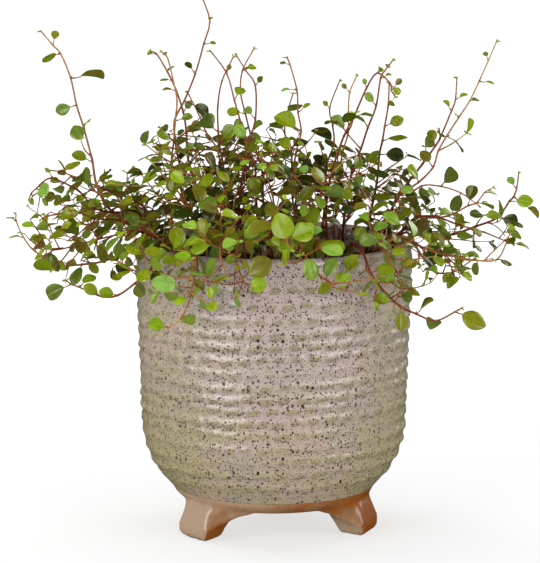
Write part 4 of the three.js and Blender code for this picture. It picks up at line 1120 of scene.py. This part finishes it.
def inner_clay_finish():
    f = Finish("inner_clay", Specular_IOR_Level=0.35, Roughness=0.7)
    shade = f.ramp(f.noise(70, 4, 0.6), {0.3: "b89e88", 0.7: "c4ad99"})
    return grainy(f, shade, f.noise(1600), 0.88, 1.08, 0.0003, 0.6)


def soil_finish():
    f = Finish("soil", Specular_IOR_Level=0.25, Roughness=0.92)
    own, _, pale = f.mark("tone")
    level = f.scaled(own, 0.5, f.scaled(f.noise(160, 3, 0.6), 0.6))
    shade = f.ramp(level, {0.1: "18100b", 0.4: "2c1d14", 0.7: "4a3222", 1: "6e4e35"})
    return grainy(f, f.blend(pale, shade, "cfc8ba"), f.noise(700, 4, 0.7), 0.6, 1.25, 0.0006, 0.9)


def floor_finish():
    f = Finish("floor", Base_Color="8c8c8c", Specular_IOR_Level=0.0, Roughness=1.0, Emission_Color="ffffff")
    # The floor glows, a painted light that keeps it white, and glows less near the pot, a painted shade
    # round it
    spread = f.node("ShaderNodeVectorMath", {0: f.here}, out="Value", operation="LENGTH")
    return f.done(Emission_Strength=f.smooth(spread, 0.15, 0.9, 0.65, 0.9))


# Pot

POT_COLUMNS = 352
GLAZE_ROWS = 160
# Middle heights of the raised rings, from the lip down
RING_HEIGHTS = [
    138, 130, 122.4, 114.6, 107.6, 101.8, 95.2, 88.6, 82, 75.8, 70.2, 64.4, 58, 51, 44, 37, 30,
]
RING_HEIGHT, RING_DEPTH = 1.3, 1.1
DASHES = 45
INNER_GLAZE_DEPTH, LIP_RISE = 12, 2.9
BASE_COLUMNS, VOXEL = 96, 1.0
GLAZE, INNER_CLAY, CLAY = 0, 1, 2
# Sections of a foot: height, inner and outer reach, and half width
FOOT_SECTIONS = [
    (0.0, 37.8, 49.6, 7.4), (0.8, 37.0, 51.2, 9.2), (2.6, 36.0, 52.4, 10.6), (5.5, 34.5, 52.6, 11.6),
    (8.0, 33.0, 52.0, 13.2), (10.5, 32.0, 51.2, 16.2), (12.5, 31.0, 50.6, 20.0), (14.2, 30.0, 50.0, 25.0),
    (16.5, 28.0, 49.2, 29.0), (18.5, 28.0, 48.0, 30.0), (21.0, 28.0, 47.0, 30.0),
]


def ease(value, low, high):
    share = np.clip((value - low) / (high - low), 0, 1)
    return share * share * (3 - 2 * share)


def body_radius(z):
    rise = (z - SHOULDER_HEIGHT) / (RIM_HEIGHT - SHOULDER_HEIGHT)
    drop = clamp((SHOULDER_HEIGHT - z) / (SHOULDER_HEIGHT - GLAZE_EDGE_HEIGHT))
    if z >= SHOULDER_HEIGHT:
        return SHOULDER_RADIUS + (RIM_RADIUS - SHOULDER_RADIUS) * rise
    return SHOULDER_RADIUS + (GLAZE_EDGE_RADIUS - SHOULDER_RADIUS) * drop ** 2.3


# Round the pot at a height: how far the rings stand out, from 0 between them to 1, where a dash is
# and where the painted shadow under a dash goes
def ring_relief(angle, z):
    chance = random.Random(11)
    relief, dashes, painted_shadows = np.zeros((3, len(angle)))
    for number, height in enumerate(RING_HEIGHTS):
        phases = [chance.uniform(0, 2 * math.pi) for _ in range(4)]
        offset = chance.random()
        middle = height + 0.5 * np.sin(2 * angle + phases[0]) + 0.3 * np.sin(5 * angle + phases[1])
        middle = middle + 1.6 * ease(height, 134, 112) * np.sin(angle + 2.2)
        strength = 0.82 + 0.28 * np.sin(angle + phases[2]) + 0.18 * np.sin(3 * angle + phases[0])
        strength = np.clip(strength, 0.25, 1)
        beat = angle * DASHES / (2 * math.pi) + offset + 0.3 * np.sin(3 * angle + phases[3])
        which, share = np.floor(beat), beat % 1
        drift = np.sin(which * 12.9898 + number * 78.233) * 43758.5453 % 1
        other = np.sin(which * 39.346 + number * 11.135) * 24634.6345 % 1
        dash = ease(share, 0.0, 0.12) * (1 - ease(share, 0.6 + 0.14 * drift, 0.74 + 0.14 * drift))
        middle = middle + 1.5 * (other - 0.5) * dash + 0.4 * (share - 0.5)
        half = RING_HEIGHT * (0.8 + 0.35 * drift)
        slim = half * (0.65 + 0.35 * dash)
        above = 1 - ease(z - middle, 0.1, 2.7 * half)
        ring = np.minimum(above, 1 - ease(middle - z, 0.2 * half, 2.4 * half))
        bar = np.minimum(above, 1 - ease(middle - z, 0.3 * slim, 1.25 * slim)) * dash
        relief = np.maximum(relief, strength * (0.44 * ring + (0.36 + 0.3 * other) * bar))
        across, below = np.abs(z - middle - 0.25 * slim), np.abs(z - middle + 1.05 * slim)
        dashes = np.maximum(dashes, strength * dash * (1 - ease(across, 0.45 * slim, 1.25 * slim)))
        painted_shadows = np.maximum(painted_shadows, strength * dash * (1 - ease(below, 0.2, 0.9)))
    return relief, dashes, painted_shadows


# The glazed body: one closed skin round the outside, over the rim and down inside
def add_body(shape):
    angle = np.linspace(0, 2 * math.pi, POT_COLUMNS, endpoint=False)
    wobble = 0.12 * np.sin(2 * angle + 1) + 0.1 * np.sin(3 * angle + 2)
    rings, kinds, place = [], [], []

    # edge marks where the painted shadow under a dash goes
    def add(radius, height, kind=GLAZE, dash=0, edge=0):
        for rows, columns in (
            (rings, (radius * np.cos(angle), radius * np.sin(angle), height)),
            (place, (0 * angle, dash, edge)),
        ):
            rows.append(np.stack(np.broadcast_arrays(*columns), axis=1).tolist())
        kinds.append(kind)

    for radius, height in ((30, 22.3), (48.6, 21.7), (50.4, 21.8), (51.2, 22.4)):
        add(radius, height)
    for z in np.linspace(23.2, RIM_HEIGHT - 3.2, GLAZE_ROWS):
        fade = ease(z, 23, 27) * (1 - ease(z, RIM_HEIGHT - 5, RIM_HEIGHT - 2))
        relief, dash, edge = ring_relief(angle, z)
        add(body_radius(z) + RING_DEPTH * relief * fade - 0.15 + wobble, z, GLAZE, dash * fade, edge * fade)
    for step in range(11):
        turn = math.pi * step / 10
        radius = RIM_RADIUS - WALL / 2 + 0.2 + (WALL / 2 + 0.5) * math.cos(turn) + wobble
        add(radius, RIM_HEIGHT - LIP_RISE + LIP_RISE * math.sin(turn) + 0.5 * wobble - 0.1)
    edge = RIM_HEIGHT - INNER_GLAZE_DEPTH + 0.8 * np.sin(angle * 2 + 1) + 0.5 * np.sin(angle * 5)
    top = RIM_HEIGHT - LIP_RISE
    inside = RIM_RADIUS - WALL
    for step in range(1, 8):
        throwing = 0.35 * math.sin(step * 2.2)
        add(inside - 0.1 + throwing + wobble, top + (edge - top) * step / 7)
    for step in range(1, 14):
        throwing = 0.22 * math.sin(step * 1.9) if step < 12 else 0
        add(inside - 0.45 + throwing, edge + (112 - edge) * step / 13, INNER_CLAY)
    for radius, height in ((62.5, 100), (60.5, 58), (54, 34), (47, 26), (40, 21), (20, 21)):
        add(radius, height, INNER_CLAY)
    ends = [(0, 0, rings[0][0][2]), (0, 0, rings[-1][0][2])]
    finish = [kind for kind in kinds[1:] + [GLAZE, INNER_CLAY] for _ in range(POT_COLUMNS)]
    marks = [mark for row in place for mark in row] + [(0, 0, 0)] * 2
    shape.add(*closed_skin(rings, ends), finish, marks)


# One foot: a stubby wedge that splays outwards, with a broad outer face and a flat sole
def foot_rings(angle):
    rings = []
    for z, inner, outer, half in FOOT_SECTIONS:
        edge = 43 + 0.9 * max(0.0, z - 14)
        outline = [(inner, -half * 0.5)]
        for side in (-1, -0.8, -0.6, -0.45, -0.36, -0.2, 0, 0.2, 0.36, 0.45, 0.6, 0.8, 1):
            v = half * side
            corner = ease(abs(v) - 10.8 + 0.5 * max(0, z - 9), 0, 4 + 0.9 * max(0, z - 9))
            outline.append((outer + min(0, math.sqrt(edge ** 2 - v ** 2) - outer) * corner, v))
        outline.append((inner, half * 0.5))
        rings.append([turned((x, y, z), UP, math.radians(angle)) for x, y in outline])
    return rings


# The clay base and its feet, melted into each other by a voxel skin that is then smoothed and set
# back on the ground, with flat soles
def add_base(shape):
    profile = [(0.001, 15.2), (34, 15.0), (40.5, 14.9), (44.5, 15.9), (48.0, 18.2), (50.2, 20.4),
               (50.7, 22.2), (49.5, 24.5), (0.001, 24.5)]
    draft = Shape()
    draft.add(*closed_skin([circle(radius, height, BASE_COLUMNS) for radius, height in profile]))
    for angle in FOOT_ANGLES:
        draft.add(*closed_skin(foot_rings(angle)))
    mesh = bpy.data.meshes.new("base_draft")
    mesh.from_pydata((np.array(draft.points) * MM).tolist(), [], draft.faces)
    obj = bpy.data.objects.new("base_draft", mesh)
    bpy.context.collection.objects.link(obj)
    remesh = obj.modifiers.new("melt", "REMESH")
    remesh.mode, remesh.voxel_size = "VOXEL", VOXEL * MM
    smooth = obj.modifiers.new("soften", "SMOOTH")
    smooth.factor, smooth.iterations = 0.5, 6
    bpy.context.view_layer.update()
    melted = bpy.data.meshes.new_from_object(obj.evaluated_get(bpy.context.evaluated_depsgraph_get()))
    points = np.array([corner.co for corner in melted.vertices]) / MM
    points[:, 2] -= points[:, 2].min() * np.clip((8 - points[:, 2]) / 8, 0, 1)
    points[:, 2] = np.where(points[:, 2] < 0.35, 0.0, points[:, 2])
    shape.add(points.tolist(), [tuple(polygon.vertices) for polygon in melted.polygons], CLAY)
    bpy.data.objects.remove(obj)


def make_pot():
    shape = Shape()
    add_body(shape)
    add_base(shape)
    finishes = [glaze_finish(), inner_clay_finish(), clay_finish()]
    piece_from("stoneware_pot", shape, finishes, "pot")


# Potting soil: a full body with a crumbly top, and loose crumbs of bark and grit on it

SOIL_COLUMNS = 120
# How many crumbs there are, how far out they lie, and the room they leave round each stem
CRUMBS, CRUMB_REACH, CRUMB_ROOM = 420, 59, 2.6


def soil_height(x, y):
    lumps = noise.fractal(Vector((x * 0.09, y * 0.09, 3.1)), 0.6, 2.2, 4)
    fine = noise.fractal(Vector((x * 0.45, y * 0.45, 7.7)), 0.6, 2.2, 3)
    crown = 0.6 * (1 - (math.hypot(x, y) / 60) ** 2)
    return SOIL_TOP - 0.4 + crown + 0.55 * lumps + 0.45 * fine


def add_soil_body(shape):
    profile = [(0.001, 21.4), (39, 21.4), (53, 34.4), (59.9, 58), (61.9, 100), (62.1, 117)]
    rings = [circle(radius, height, SOIL_COLUMNS) for radius, height in profile]
    for radius, sink in [(62.1, 1.2), (61.6, 0.4)] + [(60.5 - 1.5 * k, 0) for k in range(40)]:
        rings.append([(x, y, soil_height(x, y) - sink) for x, y, _ in circle(radius, 0, SOIL_COLUMNS)])
    shape.add(*closed_skin(rings), tone=(0.25, 0.0, 0.0))


def add_crumb(shape, chance, x, y):
    size = chance.uniform(0.5, 1.6) * (1.5 if chance.random() < 0.12 else 1)
    pale = 1.0 if chance.random() < 0.07 else 0.0
    stretch = [chance.uniform(0.6, 1.5), chance.uniform(0.6, 1.2), chance.uniform(0.45, 0.9)]
    spin = Matrix.Rotation(chance.uniform(0, 6.3), 3, "Z")
    spin = spin @ Matrix.Rotation(chance.uniform(-0.6, 0.6), 3, "X")
    shift = Vector((x, y, soil_height(x, y) + 0.25 * size))
    lump = bmesh.new()
    bmesh.ops.create_icosphere(lump, subdivisions=2, radius=1)
    points = []
    for corner in lump.verts:
        rough = 1 + 0.45 * noise.noise(corner.co * 1.3 + shift)
        bent = spin @ Vector([part * wide * rough * size for part, wide in zip(corner.co, stretch)])
        points.append(tuple(bent + shift))
    faces = [tuple(corner.index for corner in face.verts) for face in lump.faces]
    lump.free()
    shape.add(points, faces, tone=(chance.random(), 0.0, pale))


def make_soil(plants):
    shape = Shape()
    add_soil_body(shape)
    chance = random.Random(5)
    placed = 0
    while placed < CRUMBS:
        turn, radius = chance.uniform(0, 2 * math.pi), CRUMB_REACH * math.sqrt(chance.random())
        spot = (radius * math.cos(turn), radius * math.sin(turn))
        if min(math.dist(spot, plant.root) for plant in plants) > CRUMB_ROOM:
            add_crumb(shape, chance, *spot)
            placed += 1
    piece_from("potting_soil", shape, [soil_finish()], "soil")


# Studio: the photograph's view, a pale floor that glows, less near the pot, and soft boxes

CAMERA_PLACE = (-0.00175, -1.6, 0.379)
CAMERA_DROP = 9.035
FOCAL_PIXELS, FRAME_PIXELS = 3234, 563
SENSOR = 36
# Soft boxes: place, the height they point at on the object's axis, size and power
SOFT_BOXES = {
    "back_left_box": ((-1.15, 0.85, 0.6), 0.12, (0.8, 0.9), 13),
    "back_right_box": ((1.1, 1.0, 0.7), 0.12, (0.8, 0.9), 9),
    "left_box": ((-0.9, -0.92, 0.55), 0.12, (0.8, 0.85), 11.3),
    "right_box": ((1.0, -0.85, 0.55), 0.12, (0.9, 0.85), 10),
    "front_box": ((0, -2.2, 0.5), 0.1, (1.2, 0.9), 7),
}
UNSEEN_IN_GLOSS = ("overhead", "back_left_box", "front_box", "floor")
SKY_POWER, SUN_POWER = 0.3, 1.45
# How wide the sun is and how it leans about X and Y, in degrees
SUN_WIDTH, SUN_LEAN = 50, (-4, -6)
FLOOR_REACH = 6


def placed(name, data, place=(0, 0, 0), turn=(0, 0, 0)):
    obj = bpy.data.objects.new(name, data)
    obj.location, obj.rotation_euler = place, turn
    obj.visible_glossy = name not in UNSEEN_IN_GLOSS
    bpy.context.collection.objects.link(obj)
    return obj


def make_camera():
    data = bpy.data.cameras.new("camera")
    data.sensor_fit = "VERTICAL"
    data.sensor_height = SENSOR
    data.lens = SENSOR * FOCAL_PIXELS / FRAME_PIXELS
    bpy.context.scene.camera = placed("camera", data, CAMERA_PLACE, (math.radians(90 - CAMERA_DROP), 0, 0))


def make_floor():
    mesh = bpy.data.meshes.new("floor")
    corners = [(x * FLOOR_REACH, y * FLOOR_REACH, 0) for x, y in ((-1, -1), (1, -1), (1, 1), (-1, 1))]
    mesh.from_pydata(corners, [], [(0, 1, 2, 3)])
    mesh.materials.append(floor_finish())
    floor = placed("floor", mesh)


def make_lights():
    world = bpy.data.worlds.new("studio")
    world.use_nodes = True
    sky = world.node_tree.nodes["Background"].inputs
    sky["Color"].default_value, sky["Strength"].default_value = (1, 1, 1, 1), SKY_POWER
    world.cycles_visibility.glossy = False
    bpy.context.scene.world = world
    bpy.context.scene.view_settings.view_transform = "Standard"
    overhead = bpy.data.lights.new("overhead", "SUN")
    overhead.energy, overhead.angle = SUN_POWER, math.radians(SUN_WIDTH)
    placed("overhead", overhead, turn=(*map(math.radians, SUN_LEAN), 0))
    for name, (place, height, size, power) in SOFT_BOXES.items():
        data = bpy.data.lights.new(name, "AREA")
        data.shape, data.energy = "RECTANGLE", power
        data.size, data.size_y = size
        aim = Vector((0, 0, height)) - Vector(place)
        placed(name, data, place, aim.to_track_quat("-Z", "Y").to_euler())


make_camera()
make_floor()
make_lights()
plants = grow_shoots()
grow_side_twigs(plants)
grow_top_leaves(plants)
make_pot()
make_soil(plants)
foliage = [leaf_finish(), bark_finish()]
for plant in plants:
    piece_from(f"{plant.name}_fine", shoot_shape(plant), foliage, plant.name)
